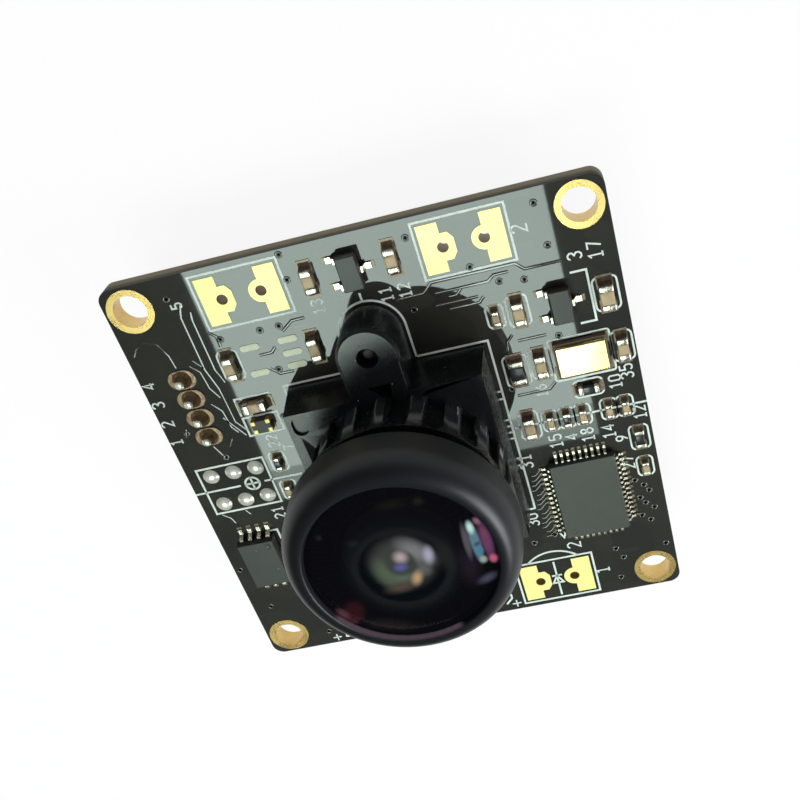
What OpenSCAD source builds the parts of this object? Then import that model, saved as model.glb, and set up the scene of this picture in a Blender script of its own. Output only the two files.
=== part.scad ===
// Board camera: a square circuit board with an M12 lens in a screwed-on holder.
// The origin is the centre of the mounting hole pattern on the board's back
// face, +Z runs along the lens axis and +Y points to the header end's top row.

/* [Board] */
// Side of the square board
board_size = 38; // [35:0.5:48]
// Thickness of the board
board_t = 1.6; // [0.8:0.1:2.4]
// Corner radius of the board
board_corner_r = 1.0; // [0.4:0.1:2]
// Distance from each edge to a mounting hole's centre
hole_inset = 2.0; // [1.8:0.1:3]
// Clear diameter of the plated mounting holes
hole_d = 2.6; // [2:0.1:3]
// Width of the bare ring round a mounting hole
hole_ring_w = 0.5; // [0.2:0.05:0.8]
// Thickness of pads, rings and plated walls
copper_t = 0.05; // [0.03:0.01:0.1]

/* [Lamp pads] */
// Distance between the two lead holes of a lamp
lamp_lead_gap = 3.05; // [2.5:0.05:3.5]
// Radius of a lamp's lead hole
lamp_hole_r = 0.42; // [0.3:0.02:0.6]
// Length of a lamp pad across the lead line
lamp_pad_l = 3.85; // [3:0.05:4.5]
// Reach of a lamp pad outwards from the lead hole
lamp_pad_reach = 1.58; // [1.2:0.02:2]

/* [Lens holder] */
// Width of the holder's base
base_w = 15.7; // [14.5:0.1:17]
// Length of the holder's base
base_l = 16; // [14.5:0.1:17.5]
// Height of the base and its ears
base_h = 4.2; // [3.2:0.1:6]
// Wall of the base
base_wall = 1.2; // [0.8:0.1:1.8]
// Draft of the base's sides, taken off each side at the top
base_draft = 0.22; // [0:0.02:0.4]
// Roof over the sensor
roof_t = 1.0; // [0.6:0.1:1.6]
// Distance between the two screws
screw_gap = 22; // [20.5:0.1:24]
// Radius of an ear
ear_r = 2.35; // [1.8:0.05:2.8]
// Outer diameter of the fluted neck
neck_d = 15.3; // [14.2:0.1:16.4]
// Height of the neck above the base
neck_h = 4.1; // [3:0.1:6]
// Number of flutes round the neck
flute_count = 18; // [12:1:24]
// Width of a flute
flute_w = 1.3; // [0.6:0.1:1.6]
// Depth of a flute
flute_depth = 0.55; // [0.2:0.05:0.8]

/* [Lens barrel] */
// Outer diameter of the focusing thread
thread_d = 12; // [11:0.1:12.6]
// Pitch of the focusing thread
thread_pitch = 0.5; // [0.35:0.05:1]
// Play between thread, bores, rings and glass
fit_gap = 0.04; // [0.02:0.01:0.08]
// Bare thread between the neck and the head
head_gap = 1.95; // [0.8:0.05:3]
// Wall of the barrel behind the thread
barrel_wall = 2.55; // [2:0.05:3]
// Width of the seat that the second lens rests on
seat_w = 1.2; // [0.8:0.05:1.5]
// Height of the barrel's flange inside the head
flange_h = 2.6; // [2:0.1:3.4]

/* [Front ring and glass] */
// Outer diameter of the lens head
head_d = 17; // [16.4:0.1:19]
// Height of the straight side of the head
head_side_h = 2.0; // [1:0.1:3]
// Wall of the ring's skirt round the flange
skirt_t = 0.55; // [0.4:0.05:0.8]
// Section diameter of the rubber seal
seal_d = 0.6; // [0.4:0.05:0.8]
// Width of the lip that holds the glass
lip_w = 0.5; // [0.3:0.05:0.8]
// Height of the lip over the glass edge
lip_h = 0.5; // [0.3:0.05:0.8]
// Radius of the front glass dome
dome_r = 12; // [10:0.1:16]
// Edge thickness of the front glass
glass_edge_t = 0.85; // [0.6:0.05:1.2]
// Thickness of the front glass at its centre
glass_mid_t = 1.2; // [0.8:0.1:1.6]

/* [Inner lenses] */
// Edge thickness of the second lens
second_edge_t = 1.6; // [1.3:0.1:2]
// Edge thickness of the third lens
third_edge_t = 1.4; // [1:0.1:1.8]
// Height of the aperture stop ring
stop_h = 0.6; // [0.4:0.05:0.9]
// Radius of the aperture
aperture_r = 1.0; // [0.6:0.05:1.4]
// Edge thickness of the fourth lens
fourth_edge_t = 1.0; // [0.8:0.1:1.3]
// Height of the ring between the fourth and rear lenses
rear_ring_h = 1.0; // [0.9:0.1:1.4]
// Edge thickness of the rear lens
rear_edge_t = 0.8; // [0.6:0.1:1.1]
// Height of the barrel's inner lip behind the rear lens
rear_lip_h = 0.7; // [0.6:0.05:1]
// Thickness of the infrared filter
filter_t = 0.3; // [0.2:0.05:0.5]

/* [Sensor] */
// Width of the image sensor's package
sensor_w = 7.0; // [6:0.1:9]
// Length of the image sensor's package
sensor_l = 6.5; // [5.5:0.1:8]
// Height of the package below its glass
sensor_h = 0.8; // [0.6:0.05:1]
// Thickness of the sensor's cover glass
cover_t = 0.4; // [0.2:0.05:0.5]

/* [Chips] */
// Width of the video chip
video_w = 5.5; // [5:0.1:6]
// Length of the video chip
video_l = 7.7; // [7:0.1:8.5]
// Pitch of the video chip's leads
video_pitch = 0.5; // [0.4:0.05:0.5]
// Width of the memory chip
memory_w = 3.3; // [3:0.1:3.6]
// Length of the memory chip
memory_l = 4.9; // [4.4:0.1:5.2]
// Pitch of the memory chip's leads
memory_pitch = 0.8; // [0.65:0.05:0.85]
// Length of a regulator's body
regulator_l = 2.9; // [2.7:0.05:3.1]
// Width of a regulator's body
regulator_w = 1.7; // [1.4:0.05:1.9]
// Length of the crystal
crystal_l = 4.1; // [3.2:0.1:4.4]
// Width of the crystal
crystal_w = 3.0; // [2.4:0.1:3.2]

/* [Cable header] */
// Number of pins
pin_count = 4; // [2:1:5]
// Pitch of the pins
pin_pitch = 1.8; // [1.5:0.05:2]
// Side of a square pin
pin_w = 0.5; // [0.4:0.05:0.64]
// Height of a pin's tip over the board's front face
pin_tip_h = 1.15; // [0.8:0.05:1.5]
// Depth of the housing below the board
header_h = 6.0; // [5:0.1:8]
// Width of the housing across the pin row
header_w = 4.5; // [3.8:0.1:4.8]
// Wall of the housing
header_wall = 0.6; // [0.4:0.05:0.8]
// Distance from the board's edge to the pin row
header_inset = 3.4; // [3:0.1:4]

/* [Hidden] */
$fn = 72;

// Small values that several pieces share.
eps = 0.01;
top_z = board_t;
part_z = board_t + copper_t;
board_r = board_size / 2;

// Holder levels and radii.
screw_y = screw_gap / 2;
screw_hole_r = 0.9;
screw_r = 0.75;
roof_z = top_z + base_h;
neck_top_z = roof_z + neck_h;
neck_r = neck_d / 2;
thread_r = thread_d / 2;
thread_depth = 0.54 * thread_pitch;

// Lens levels, from the head down to the filter.
head_r = head_d / 2;
head_z = neck_top_z + head_gap;
glass_seat_z = head_z + flange_h;
flange_r = head_r - skirt_t - fit_gap;
glass_r = flange_r - seal_d - 3 * fit_gap;
view_r = glass_r - lip_w;
dome_z = glass_seat_z + glass_edge_t - drop(dome_r, glass_r);
apex_z = dome_z + dome_r;
rear_bore_r = thread_r - barrel_wall;
front_bore_r = rear_bore_r + seat_w;
element_r = rear_bore_r - fit_gap;
second_r = front_bore_r - fit_gap;
clear_r = element_r - 0.65;
second_seat_z = glass_seat_z - 0.9 - second_edge_t;
third_z = second_seat_z - third_edge_t;
stop_z = third_z - stop_h;
fourth_z = stop_z - fourth_edge_t;
rear_ring_z = fourth_z - rear_ring_h;
rear_lens_z = rear_ring_z - rear_edge_t;
filter_z = rear_lens_z - rear_lip_h - filter_t;
filter_r = rear_bore_r + 0.5;
filter_hole_r = clear_r - 0.1;

// Places on the board are given on a nominal board and spread between the
// holder's base and the board's edge, so that they follow both.
layout_core = [7.85, 8];
layout_rim = 19;
core = [base_w / 2, base_l / 2];
function spread(v, i) =
    let (a = abs(v), s = sign(v))
    a < layout_core[i]
        ? v * core[i] / layout_core[i]
        : s * (core[i] + (a - layout_core[i]) * (board_r - core[i]) / (layout_rim - layout_core[i]));
function place(p) = [spread(p[0], 0), spread(p[1], 1)];

// Chip parts: length, width, height, end length.
size_large = [2.0, 1.1, 0.95, 0.48];
size_medium = [1.85, 0.88, 0.8, 0.5];
size_small = [1.2, 0.58, 0.55, 0.32];
size_wide = [2.0, 1.15, 0.55, 0.45];
size_flat = [1.6, 0.8, 0.5, 0.35];

// Where they sit: x, y, turn.
large_capacitor_at = [[17.6, 9.85, 90]];
capacitors_at = [
    [-3.2, 16.3, 90], [3.1, 16.4, 90], [-11.45, 10.9, 90], [-4.6, 10.9, 90],
    [-10.9, 7.2, 0], [11, 10.05, 90], [11.65, 5.3, 90], [18, 5.3, 90], [9.6, 0, 90]
];
small_capacitors_at = [
    [-11.15, -1.3, 90], [9.25, 10, 90], [11.3, 0, 90], [13.9, 0, 90],
    [16, 0, 90], [17.3, 0, 90], [17.9, -6.1, 90]
];
wide_resistor_at = [[9.75, 5.1, 90]];
resistor_at = [[14.8, 2.3, 0], [17.9, -3.2, 90]];
small_resistor_at = [[12.6, 0, 90], [-11.05, 1.6, 90]];
choke_at = [-10.9, 5.45];
choke_size = [1.6, 1.15, 0.7];
lamps_at = [[8.45, -16.28], [8.45, 16.28], [-8.45, 16.28], [-8.45, -16.28]];
bare_pads_at = [[-9.5, 12], [-9.5, 9.75], [-6.45, 12], [-6.45, 10.85], [-6.45, 9.75]];
bump_columns = [-17.05, -15.1, -13.15];
bump_row = 1.43;
bump_r = 0.68;
video_at = [12.95, -7.65];
memory_at = [-15.6, -7.6];
regulators_at = [[0, 16.3, 0], [14.2, 10, 0]];
crystal_at = [14.87, 5.3];
header_y = 7.95;

// Leads: reach from the body, width, foot and metal.
video_lead = [0.62, 0.2, 0.3];
memory_lead = [0.85, 0.34, 0.45];
regulator_lead = [0.72, 0.45, 0.4];
lead_t = 0.13;
video_h = 0.85;
memory_h = 1.2;
regulator_h = 1.05;
regulator_lead_gap = 2.1;
body_lift = 0.1;
crystal_h = 0.8;

// Height of a ball's edge over its centre.
function drop(r, edge) = sqrt(r * r - edge * edge);
// Radius of a ball that rises by h over a circle of radius a.
function ball_r(a, h) = (a * a + h * h) / (2 * h);

// --- shapes that several parts share ---

// Block with its long top edges and corners broken.
module bar(size, cut = 0.07) {
    w = size[1] / 2;
    translate([-size[0] / 2, 0, 0])
        rotate([90, 0, 90])
            linear_extrude(size[0])
                polygon([
                    [-w, 0], [w, 0], [w, size[2] - cut], [w - cut, size[2]],
                    [cut - w, size[2]], [-w, size[2] - cut]
                ]);
}

// Moulded chip body: upright band and a drafted upper half.
module moulded(size, lift = body_lift, draft = 0.12) {
    half = (size[2] - lift) / 2;
    w = size[0] / 2;
    l = size[1] / 2;
    intersection() {
        translate([0, l, 0])
            rotate([90, 0, 0])
                linear_extrude(size[1])
                    polygon([
                        [draft - w, lift], [w - draft, lift], [w, lift + half],
                        [w - draft, size[2]], [draft - w, size[2]], [-w, lift + half]
                    ]);
        translate([-w, 0, 0])
            rotate([90, 0, 90])
                linear_extrude(size[0])
                    polygon([
                        [draft - l, lift], [l - draft, lift], [l, lift + half],
                        [l - draft, size[2]], [draft - l, size[2]], [-l, lift + half]
                    ]);
    }
}

// Gull-wing lead that leaves a body at x = 0 and height rise.
module gull_lead(lead, rise) {
    foot_x = lead[0] - lead[2];
    knee = 0.4 * foot_x;
    translate([0, lead[1] / 2, 0])
        rotate([90, 0, 0])
            linear_extrude(lead[1])
                polygon([
                    [0, rise], [knee, rise], [foot_x, lead_t], [lead[0], lead_t],
                    [lead[0], 0], [foot_x - 0.6 * lead_t, 0],
                    [knee - 0.6 * lead_t, rise - lead_t], [0, rise - lead_t]
                ]);
}

// A row of leads on the +X side of a body whose half width is half.
module lead_row(half, count, pitch, lead, rise) {
    for (i = [0:count - 1])
        translate([half, (i - (count - 1) / 2) * pitch, 0])
            gull_lead(lead, rise);
}

// The pads that a row of leads stands on.
module pad_row(half, count, pitch, lead) {
    for (i = [0:count - 1])
        translate([half + lead[0] - lead[2] - 0.1, (i - (count - 1) / 2) * pitch - lead[1] / 2 - 0.03, 0])
            cube([lead[2] + 0.35, lead[1] + 0.06, copper_t]);
}

module on_board(p) {
    q = place(p);
    translate([q[0], q[1], part_z])
        rotate(len(p) > 2 ? p[2] : 0)
            children();
}

module on_copper(p) {
    translate([0, 0, -copper_t])
        on_board(p)
            children();
}

// Ceramic or resistive body between its two metal ends.
module chip_body(s) {
    bar([s[0] - 2 * s[3], s[1] - 0.04, s[2] - 0.02]);
}

module chip_ends(s) {
    for (side = [-1, 1])
        translate([side * (s[0] - s[3]) / 2, 0, 0])
            bar([s[3], s[1], s[2]]);
}

// Pads and solder at a chip part's two ends.
module chip_pads(s) {
    for (side = [-1, 1])
        translate([side * s[0] / 2, 0, copper_t / 2])
            cube([2 * s[3] + 0.16, s[1] + 0.16, copper_t], center = true);
}

module chip_fillets(s) {
    for (side = [0, 180])
        rotate(side)
            translate([s[0] / 2, s[1] / 2 - 0.03, 0])
                rotate([90, 0, 0])
                    linear_extrude(s[1] - 0.06)
                        polygon([[0, 0], [0.8 * s[3], 0], [0.3 * s[3], 0.22 * s[2]], [0, 0.7 * s[2]]]);
}

// Flat oval with round ends half apart from the origin along X.
module oval(half, r) {
    union() {
        square([2 * half, 2 * r], center = true);
        for (x = [-half, half])
            translate([x, 0])
                circle(r);
    }
}

// Ring of a given section, turned about the lens axis.
module turned(points) {
    rotate_extrude()
        polygon(points);
}

// --- board ---

module at_mounting_holes() {
    p = board_r - hole_inset;
    for (x = [-p, p], y = [-p, p])
        translate([x, y, 0])
            children();
}

module at_lamp_holes(sides = [-1, 1]) {
    for (lamp = lamps_at, side = sides) {
        q = place(lamp);
        translate([q[0] + side * lamp_lead_gap / 2, q[1], 0])
            mirror([side < 0 ? 1 : 0, 0, 0])
                children();
    }
}

module at_pins() {
    y0 = spread(header_y, 1);
    for (i = [0:pin_count - 1])
        translate([header_inset - board_r, y0 + (i - (pin_count - 1) / 2) * pin_pitch, 0])
            children();
}

module at_screws() {
    for (y = [-screw_y, screw_y])
        translate([0, y, 0])
            children();
}

module circuit_board() {
    inner = board_r - board_corner_r;
    color("#1b1a17")
        difference() {
            linear_extrude(board_t)
                union() {
                    square([2 * inner, board_size], center = true);
                    square([board_size, 2 * inner], center = true);
                    for (x = [-inner, inner], y = [-inner, inner])
                        translate([x, y])
                            circle(board_corner_r);
                }
            translate([0, 0, -1]) {
                at_mounting_holes()
                    cylinder(r = hole_d / 2 + copper_t, h = board_t + 2);
                at_lamp_holes()
                    cylinder(r = lamp_hole_r + copper_t, h = board_t + 2);
                at_screws()
                    cylinder(r = screw_hole_r, h = board_t + 2);
                at_pins()
                    cylinder(r = 0.8 * pin_w, h = board_t + 2);
            }
        }
}

module hole_plating() {
    r = hole_d / 2;
    ring_r = r + hole_ring_w;
    wall_r = r + copper_t;
    color("#d9b45a")
        at_mounting_holes()
            turned([
                [r, -copper_t], [ring_r, -copper_t], [ring_r, 0], [wall_r, 0],
                [wall_r, top_z], [ring_r, top_z], [ring_r, part_z], [r, part_z]
            ]);
}

// Outline of one lamp pad, with its lead hole at the origin and the outer
// side towards +X. The bulge round the hole is square on a lamp's first pad.
module lamp_pad_outline(squared) {
    bulge_r = 2.2 * lamp_hole_r;
    bevel = 0.4 * bulge_r;
    union() {
        translate([0, -lamp_pad_l / 2])
            square([lamp_pad_reach, lamp_pad_l]);
        if (squared)
            polygon([
                [0, -1.15 * bulge_r], [bevel - bulge_r, -1.15 * bulge_r], [-bulge_r, bevel - bulge_r],
                [-bulge_r, bulge_r - bevel], [bevel - bulge_r, 1.15 * bulge_r], [0, 1.15 * bulge_r]
            ]);
        else
            circle(bulge_r);
    }
}

module lamp_pads() {
    color("#e2c36b")
        for (side = [-1, 1])
            at_lamp_holes([side])
                difference() {
                    union() {
                        translate([0, 0, top_z])
                            linear_extrude(copper_t)
                                lamp_pad_outline(side < 0);
                        cylinder(r = lamp_hole_r + copper_t, h = board_t);
                        translate([0, 0, -copper_t])
                            cylinder(r = 2 * lamp_hole_r, h = copper_t);
                    }
                    translate([0, 0, -1])
                        cylinder(r = lamp_hole_r, h = board_t + 2);
                }
}

module solder_pads() {
    video_half = [video_w / 2, video_l / 2];
    color("#c9c6ba") {
        for (p = large_capacitor_at)
            on_copper(p) chip_pads(size_large);
        for (p = capacitors_at)
            on_copper(p) chip_pads(size_medium);
        for (p = concat(small_capacitors_at, small_resistor_at))
            on_copper(p) chip_pads(size_small);
        for (p = wide_resistor_at)
            on_copper(p) chip_pads(size_wide);
        for (p = resistor_at)
            on_copper(p) chip_pads(size_flat);
        on_copper(video_at) {
            for (side = [0, 180])
                rotate(side)
                    pad_row(video_half[0], video_side, video_pitch, video_lead);
            for (side = [90, 270])
                rotate(side)
                    pad_row(video_half[1], video_end, video_pitch, video_lead);
        }
        on_copper(memory_at)
            for (side = [90, 270])
                rotate(side)
                    pad_row(memory_l / 2, 4, memory_pitch, memory_lead);
        for (p = regulators_at)
            on_copper(p) {
                pad_row(regulator_w / 2, 1, 0, regulator_lead);
                rotate(180)
                    pad_row(regulator_w / 2, 2, regulator_lead_gap, regulator_lead);
            }
        on_copper(crystal_at)
            for (x = [-1, 1], y = [-1, 1])
                translate([x * (crystal_l / 2 - 0.4), y * (crystal_w / 2 - 0.35), copper_t / 2])
                    cube([1.2, 1.0, copper_t], center = true);
        on_copper(choke_at)
            choke_corners(0.5, copper_t, 0.1);
    }
}

module bare_pads() {
    color("#cfcabb")
        for (p = bare_pads_at)
            on_copper(p)
                linear_extrude(copper_t)
                    oval(0.5, 0.26);
}

// --- holder ---

// Base block whose sides lean in towards the top, as a moulding's do.
module drafted_block(size, draft) {
    w = size[0] / 2;
    l = size[1] / 2;
    intersection() {
        translate([0, l, 0])
            rotate([90, 0, 0])
                linear_extrude(size[1])
                    polygon([[-w, 0], [w, 0], [w - draft, size[2]], [draft - w, size[2]]]);
        translate([-w, 0, 0])
            rotate([90, 0, 90])
                linear_extrude(size[0])
                    polygon([[-l, 0], [l, 0], [l - draft, size[2]], [draft - l, size[2]]]);
    }
}

module holder_ear() {
    cut = 0.25;
    union() {
        cylinder(r = ear_r, h = base_h - cut);
        translate([0, 0, base_h - cut])
            cylinder(r1 = ear_r, r2 = ear_r - cut, h = cut);
        translate([-ear_r, -(screw_y - base_l / 2) - base_wall, 0])
            cube([2 * ear_r, screw_y - base_l / 2 + base_wall, base_h - cut]);
        translate([cut - ear_r, -(screw_y - base_l / 2) - base_wall, base_h - cut])
            cube([2 * (ear_r - cut), screw_y - base_l / 2 + base_wall, cut]);
    }
}

module lens_holder() {
    inner_w = base_w - 2 * base_wall;
    inner_l = base_l - 2 * base_wall;
    dimple_at = [base_w / 2 - 1.2, base_l / 2 - 1.3];
    color("#17181a")
        difference() {
            union() {
                translate([0, 0, top_z])
                    drafted_block([base_w, base_l, base_h], base_draft);
                for (end = [0, 180])
                    rotate(end)
                        translate([0, screw_y, top_z])
                            holder_ear();
                translate([0, 0, roof_z - eps])
                    cylinder(r = neck_r, h = neck_h + eps);
            }
            translate([-inner_w / 2, -inner_l / 2, top_z - 1])
                cube([inner_w, inner_l, base_h - roof_t + 1]);
            translate([0, 0, top_z])
                cylinder(r = thread_r + fit_gap, h = base_h + neck_h + 1);
            translate([0, 0, neck_top_z - 0.4])
                cylinder(r1 = thread_r + fit_gap, r2 = thread_r + fit_gap + 0.5, h = 0.4 + eps);
            for (i = [0:flute_count - 1])
                rotate((i + 0.95) * 360 / flute_count)
                    translate([neck_r - flute_depth, -flute_w / 2, roof_z])
                        cube([flute_depth + 1, flute_w, neck_h - 0.7]);
            for (end = [0, 180])
                rotate(end) {
                    translate([0, screw_y, top_z - 1])
                        cylinder(r = screw_r + 0.05, h = base_h + 2);
                    translate([-dimple_at[0], dimple_at[1], roof_z - 0.3])
                        rotate(90)
                            linear_extrude(1)
                                oval(0.25, 0.58);
                }
        }
}

module holder_screws() {
    head_r = 1.7;
    head_h = 1.1;
    shank_h = board_t + base_h - 0.75;
    slot = [1.9, 0.42, 0.6];
    color("#b9bcc0")
        at_screws()
            difference() {
                turned([
                    [0, -head_h], [head_r - 0.5, -head_h], [head_r, -head_h + 0.5],
                    [head_r, 0], [screw_r, 0], [screw_r, shank_h - 0.5],
                    [0.35, shank_h], [0, shank_h]
                ]);
                for (turn = [0, 90])
                    rotate(turn)
                        translate([0, 0, -head_h])
                            cube([slot[0], slot[1], 2 * slot[2]], center = true);
            }
}

// --- lens ---

// Outer points of the focusing thread, from its lower end upwards.
thread_count = floor((head_z - 0.5 - filter_z - 0.5) / thread_pitch);
thread_points = [
    for (i = [0:thread_count - 1], k = [0:3])
        [
            thread_r - (k == 0 || k == 3 ? thread_depth : 0),
            filter_z + 0.5 + (i + [0, 0.4, 0.6, 1][k] * 0.98 + 0.01) * thread_pitch
        ]
];

module lens_barrel() {
    relief_r = thread_r - thread_depth;
    color("#141416")
        turned(concat(
            [[filter_r, filter_z], [relief_r - 0.2, filter_z], [relief_r, filter_z + 0.3]],
            thread_points,
            [
                [relief_r, head_z], [flange_r, head_z], [flange_r, glass_seat_z],
                [front_bore_r, glass_seat_z], [front_bore_r, second_seat_z],
                [rear_bore_r, second_seat_z], [rear_bore_r, rear_lens_z],
                [filter_hole_r, rear_lens_z], [filter_hole_r, filter_z + filter_t],
                [filter_r, filter_z + filter_t]
            ]
        ));
}

// Cap ring with a rounded shoulder. Its lip holds the front glass down.
module front_ring() {
    lip_z = glass_seat_z + glass_edge_t + lip_h + drop(dome_r, view_r) - drop(dome_r, glass_r);
    side_z = head_z + head_side_h;
    crown_r = view_r + 0.35;
    inner_r = glass_r + fit_gap;
    shoulder = [
        for (a = [0:7.5:90])
            [crown_r + (head_r - crown_r) * cos(a), side_z + (lip_z - side_z) * sin(a)]
    ];
    color("#1c1d20")
        turned(concat(
            [[flange_r + fit_gap, head_z], [head_r - 0.12, head_z], [head_r, head_z + 0.12]],
            shoulder,
            [
                [view_r + 0.15, lip_z - 0.06],
                [view_r, dome_z + drop(dome_r, view_r) + 0.5 * fit_gap],
                [inner_r, dome_z + drop(dome_r, glass_r) + 0.5 * fit_gap],
                [inner_r, glass_seat_z + seal_d + fit_gap],
                [flange_r + fit_gap, glass_seat_z + seal_d + fit_gap]
            ]
        ));
}

module front_seal() {
    color("#0c0c0d")
        rotate_extrude()
            translate([glass_r + fit_gap + seal_d / 2, glass_seat_z + seal_d / 2])
                circle(seal_d / 2, $fn = 24);
}

// Domed front glass with a deep hollow behind it.
module front_lens() {
    hollow_r = front_bore_r - 0.4;
    hollow_top = apex_z - glass_mid_t;
    rise = hollow_top - glass_seat_z;
    color("#2b3138", 0.6)
        difference() {
            intersection() {
                translate([0, 0, glass_seat_z])
                    cylinder(r = glass_r, h = apex_z - glass_seat_z + 1);
                translate([0, 0, dome_z])
                    sphere(dome_r);
            }
            translate([0, 0, hollow_top - ball_r(hollow_r, rise)])
                sphere(ball_r(hollow_r, rise));
        }
}

module second_lens() {
    front_rise = 1.75;
    front_ball = ball_r(second_r - 0.5, front_rise);
    hollow_r = clear_r;
    hollow_rise = 0.8 * second_edge_t;
    hollow_ball = ball_r(hollow_r, hollow_rise);
    edge_z = second_seat_z + second_edge_t;
    color("#39424a", 0.6)
        difference() {
            union() {
                translate([0, 0, second_seat_z])
                    cylinder(r = second_r, h = second_edge_t);
                intersection() {
                    translate([0, 0, edge_z - eps])
                        cylinder(r = second_r - 0.5, h = front_rise + 1);
                    translate([0, 0, edge_z + front_rise - front_ball])
                        sphere(front_ball);
                }
            }
            translate([0, 0, second_seat_z + hollow_rise - hollow_ball])
                sphere(hollow_ball);
        }
}

module lens_spacer() {
    low_z = second_seat_z + second_edge_t;
    color("#101012")
        turned([
            [second_r - 0.42, low_z], [second_r, low_z],
            [second_r, glass_seat_z], [second_r - 0.42, glass_seat_z]
        ]);
}

module third_lens() {
    hollow_rise = 0.3 * third_edge_t;
    hollow_ball = ball_r(clear_r, hollow_rise);
    color("#424c50", 0.6)
        difference() {
            translate([0, 0, third_z])
                cylinder(r = element_r, h = third_edge_t);
            translate([0, 0, second_seat_z - hollow_rise + hollow_ball])
                sphere(hollow_ball);
        }
}

module aperture_stop() {
    color("#0b0b0c")
        turned([
            [clear_r, stop_z], [element_r, stop_z], [element_r, third_z],
            [aperture_r, third_z], [aperture_r, third_z - 0.1], [clear_r, third_z - 0.1]
        ]);
}

// Lens with one ball face above its edge and one below.
module two_sided_lens(low_z, edge_t, up, down) {
    up_ball = ball_r(clear_r, up);
    down_ball = ball_r(clear_r, down);
    union() {
        translate([0, 0, low_z])
            cylinder(r = element_r, h = edge_t);
        intersection() {
            translate([0, 0, low_z + edge_t - eps])
                cylinder(r = clear_r, h = up + 1);
            translate([0, 0, low_z + edge_t + up - up_ball])
                sphere(up_ball);
        }
        intersection() {
            translate([0, 0, low_z - down - 1])
                cylinder(r = clear_r, h = down + 1 + eps);
            translate([0, 0, low_z - down + down_ball])
                sphere(down_ball);
        }
    }
}

module fourth_lens() {
    color("#465055", 0.6)
        two_sided_lens(fourth_z, fourth_edge_t, 0.55 * stop_h, 0.3 * rear_ring_h);
}

module rear_spacer() {
    color("#101012")
        turned([
            [clear_r + 0.05, rear_ring_z], [element_r, rear_ring_z],
            [element_r, fourth_z], [clear_r + 0.05, fourth_z]
        ]);
}

module rear_lens() {
    bulge_r = filter_hole_r - 0.05;
    down = 0.6 * rear_lip_h;
    down_ball = ball_r(bulge_r, down);
    up = 0.5 * rear_ring_h;
    up_ball = ball_r(clear_r, up);
    high_z = rear_lens_z + rear_edge_t;
    color("#4b5559", 0.6)
        union() {
            translate([0, 0, rear_lens_z])
                cylinder(r = element_r, h = rear_edge_t);
            intersection() {
                translate([0, 0, high_z - eps])
                    cylinder(r = clear_r, h = up + 1);
                translate([0, 0, high_z + up - up_ball])
                    sphere(up_ball);
            }
            intersection() {
                translate([0, 0, rear_lens_z - down - 1])
                    cylinder(r = bulge_r, h = down + 1 + eps);
                translate([0, 0, rear_lens_z - down + down_ball])
                    sphere(down_ball);
            }
        }
}

module infrared_filter() {
    color("#7fb8c8", 0.5)
        translate([0, 0, filter_z])
            cylinder(r = filter_r - fit_gap, h = filter_t);
}

// --- sensor ---

module sensor_package() {
    rim = 0.55;
    floor_t = 0.3;
    color("#2c2f33")
        translate([0, 0, part_z])
            difference() {
                translate([0, 0, sensor_h / 2])
                    cube([sensor_w, sensor_l, sensor_h], center = true);
                translate([0, 0, floor_t + sensor_h / 2])
                    cube([sensor_w - 2 * rim, sensor_l - 2 * rim, sensor_h], center = true);
            }
}

module sensor_die() {
    die_t = 0.25;
    color("#3a2f52")
        translate([0, 0, part_z + 0.3 + die_t / 2])
            cube([sensor_w - 1.6, sensor_l - 1.9, die_t], center = true);
}

module sensor_glass() {
    color("#b7c7cc", 0.4)
        translate([0, 0, part_z + sensor_h + cover_t / 2])
            cube([sensor_w - 0.3, sensor_l - 0.3, cover_t], center = true);
}

module sensor_contacts() {
    count = 8;
    color("#d9b45a")
        translate([0, 0, top_z + copper_t / 2])
            for (i = [0:count - 1], side = [-1, 1]) {
                step = (i - (count - 1) / 2) * 0.65;
                translate([side * (sensor_w / 2 - 0.1), step, 0])
                    cube([0.7, 0.35, copper_t], center = true);
                translate([step, side * (sensor_l / 2 - 0.1), 0])
                    cube([0.35, 0.7, copper_t], center = true);
            }
}

// --- chips and small parts ---

video_side = floor((video_l - 1.0) / video_pitch) + 1;
video_end = floor((video_w - 1.4) / video_pitch) + 1;

module video_chip() {
    dot = [video_w / 2 - 0.75, video_l / 2 - 0.75];
    color("#3c3f3c")
        on_board(video_at)
            difference() {
                moulded([video_w, video_l, video_h]);
                translate([-dot[0], -dot[1], video_h - 0.04])
                    cylinder(r = 0.3, h = 1, $fn = 24);
            }
}

module video_chip_leads() {
    rise = (video_h + body_lift) / 2 + lead_t / 2;
    color("#c4c4bd")
        on_board(video_at) {
            for (side = [0, 180])
                rotate(side)
                    lead_row(video_w / 2, video_side, video_pitch, video_lead, rise);
            for (side = [90, 270])
                rotate(side)
                    lead_row(video_l / 2, video_end, video_pitch, video_lead, rise);
        }
}

module memory_chip() {
    color("#2a2c2b")
        on_board(memory_at)
            difference() {
                moulded([memory_w, memory_l, memory_h]);
                translate([memory_w / 2 - 0.6, memory_l / 2 - 0.65, memory_h - 0.04])
                    cylinder(r = 0.25, h = 1, $fn = 24);
            }
}

module memory_chip_leads() {
    rise = (memory_h + body_lift) / 2 + lead_t / 2;
    color("#c8c8c2")
        on_board(memory_at)
            for (side = [90, 270])
                rotate(side)
                    lead_row(memory_l / 2, 4, memory_pitch, memory_lead, rise);
}

module regulators() {
    color("#26282a")
        for (p = regulators_at)
            on_board(p)
                moulded([regulator_w, regulator_l, regulator_h]);
}

module regulator_leads() {
    rise = (regulator_h + body_lift) / 2 + lead_t / 2;
    color("#c9c7c0")
        for (p = regulators_at)
            on_board(p) {
                lead_row(regulator_w / 2, 1, 0, regulator_lead, rise);
                rotate(180)
                    lead_row(regulator_w / 2, 2, regulator_lead_gap, regulator_lead, rise);
            }
}

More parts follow.
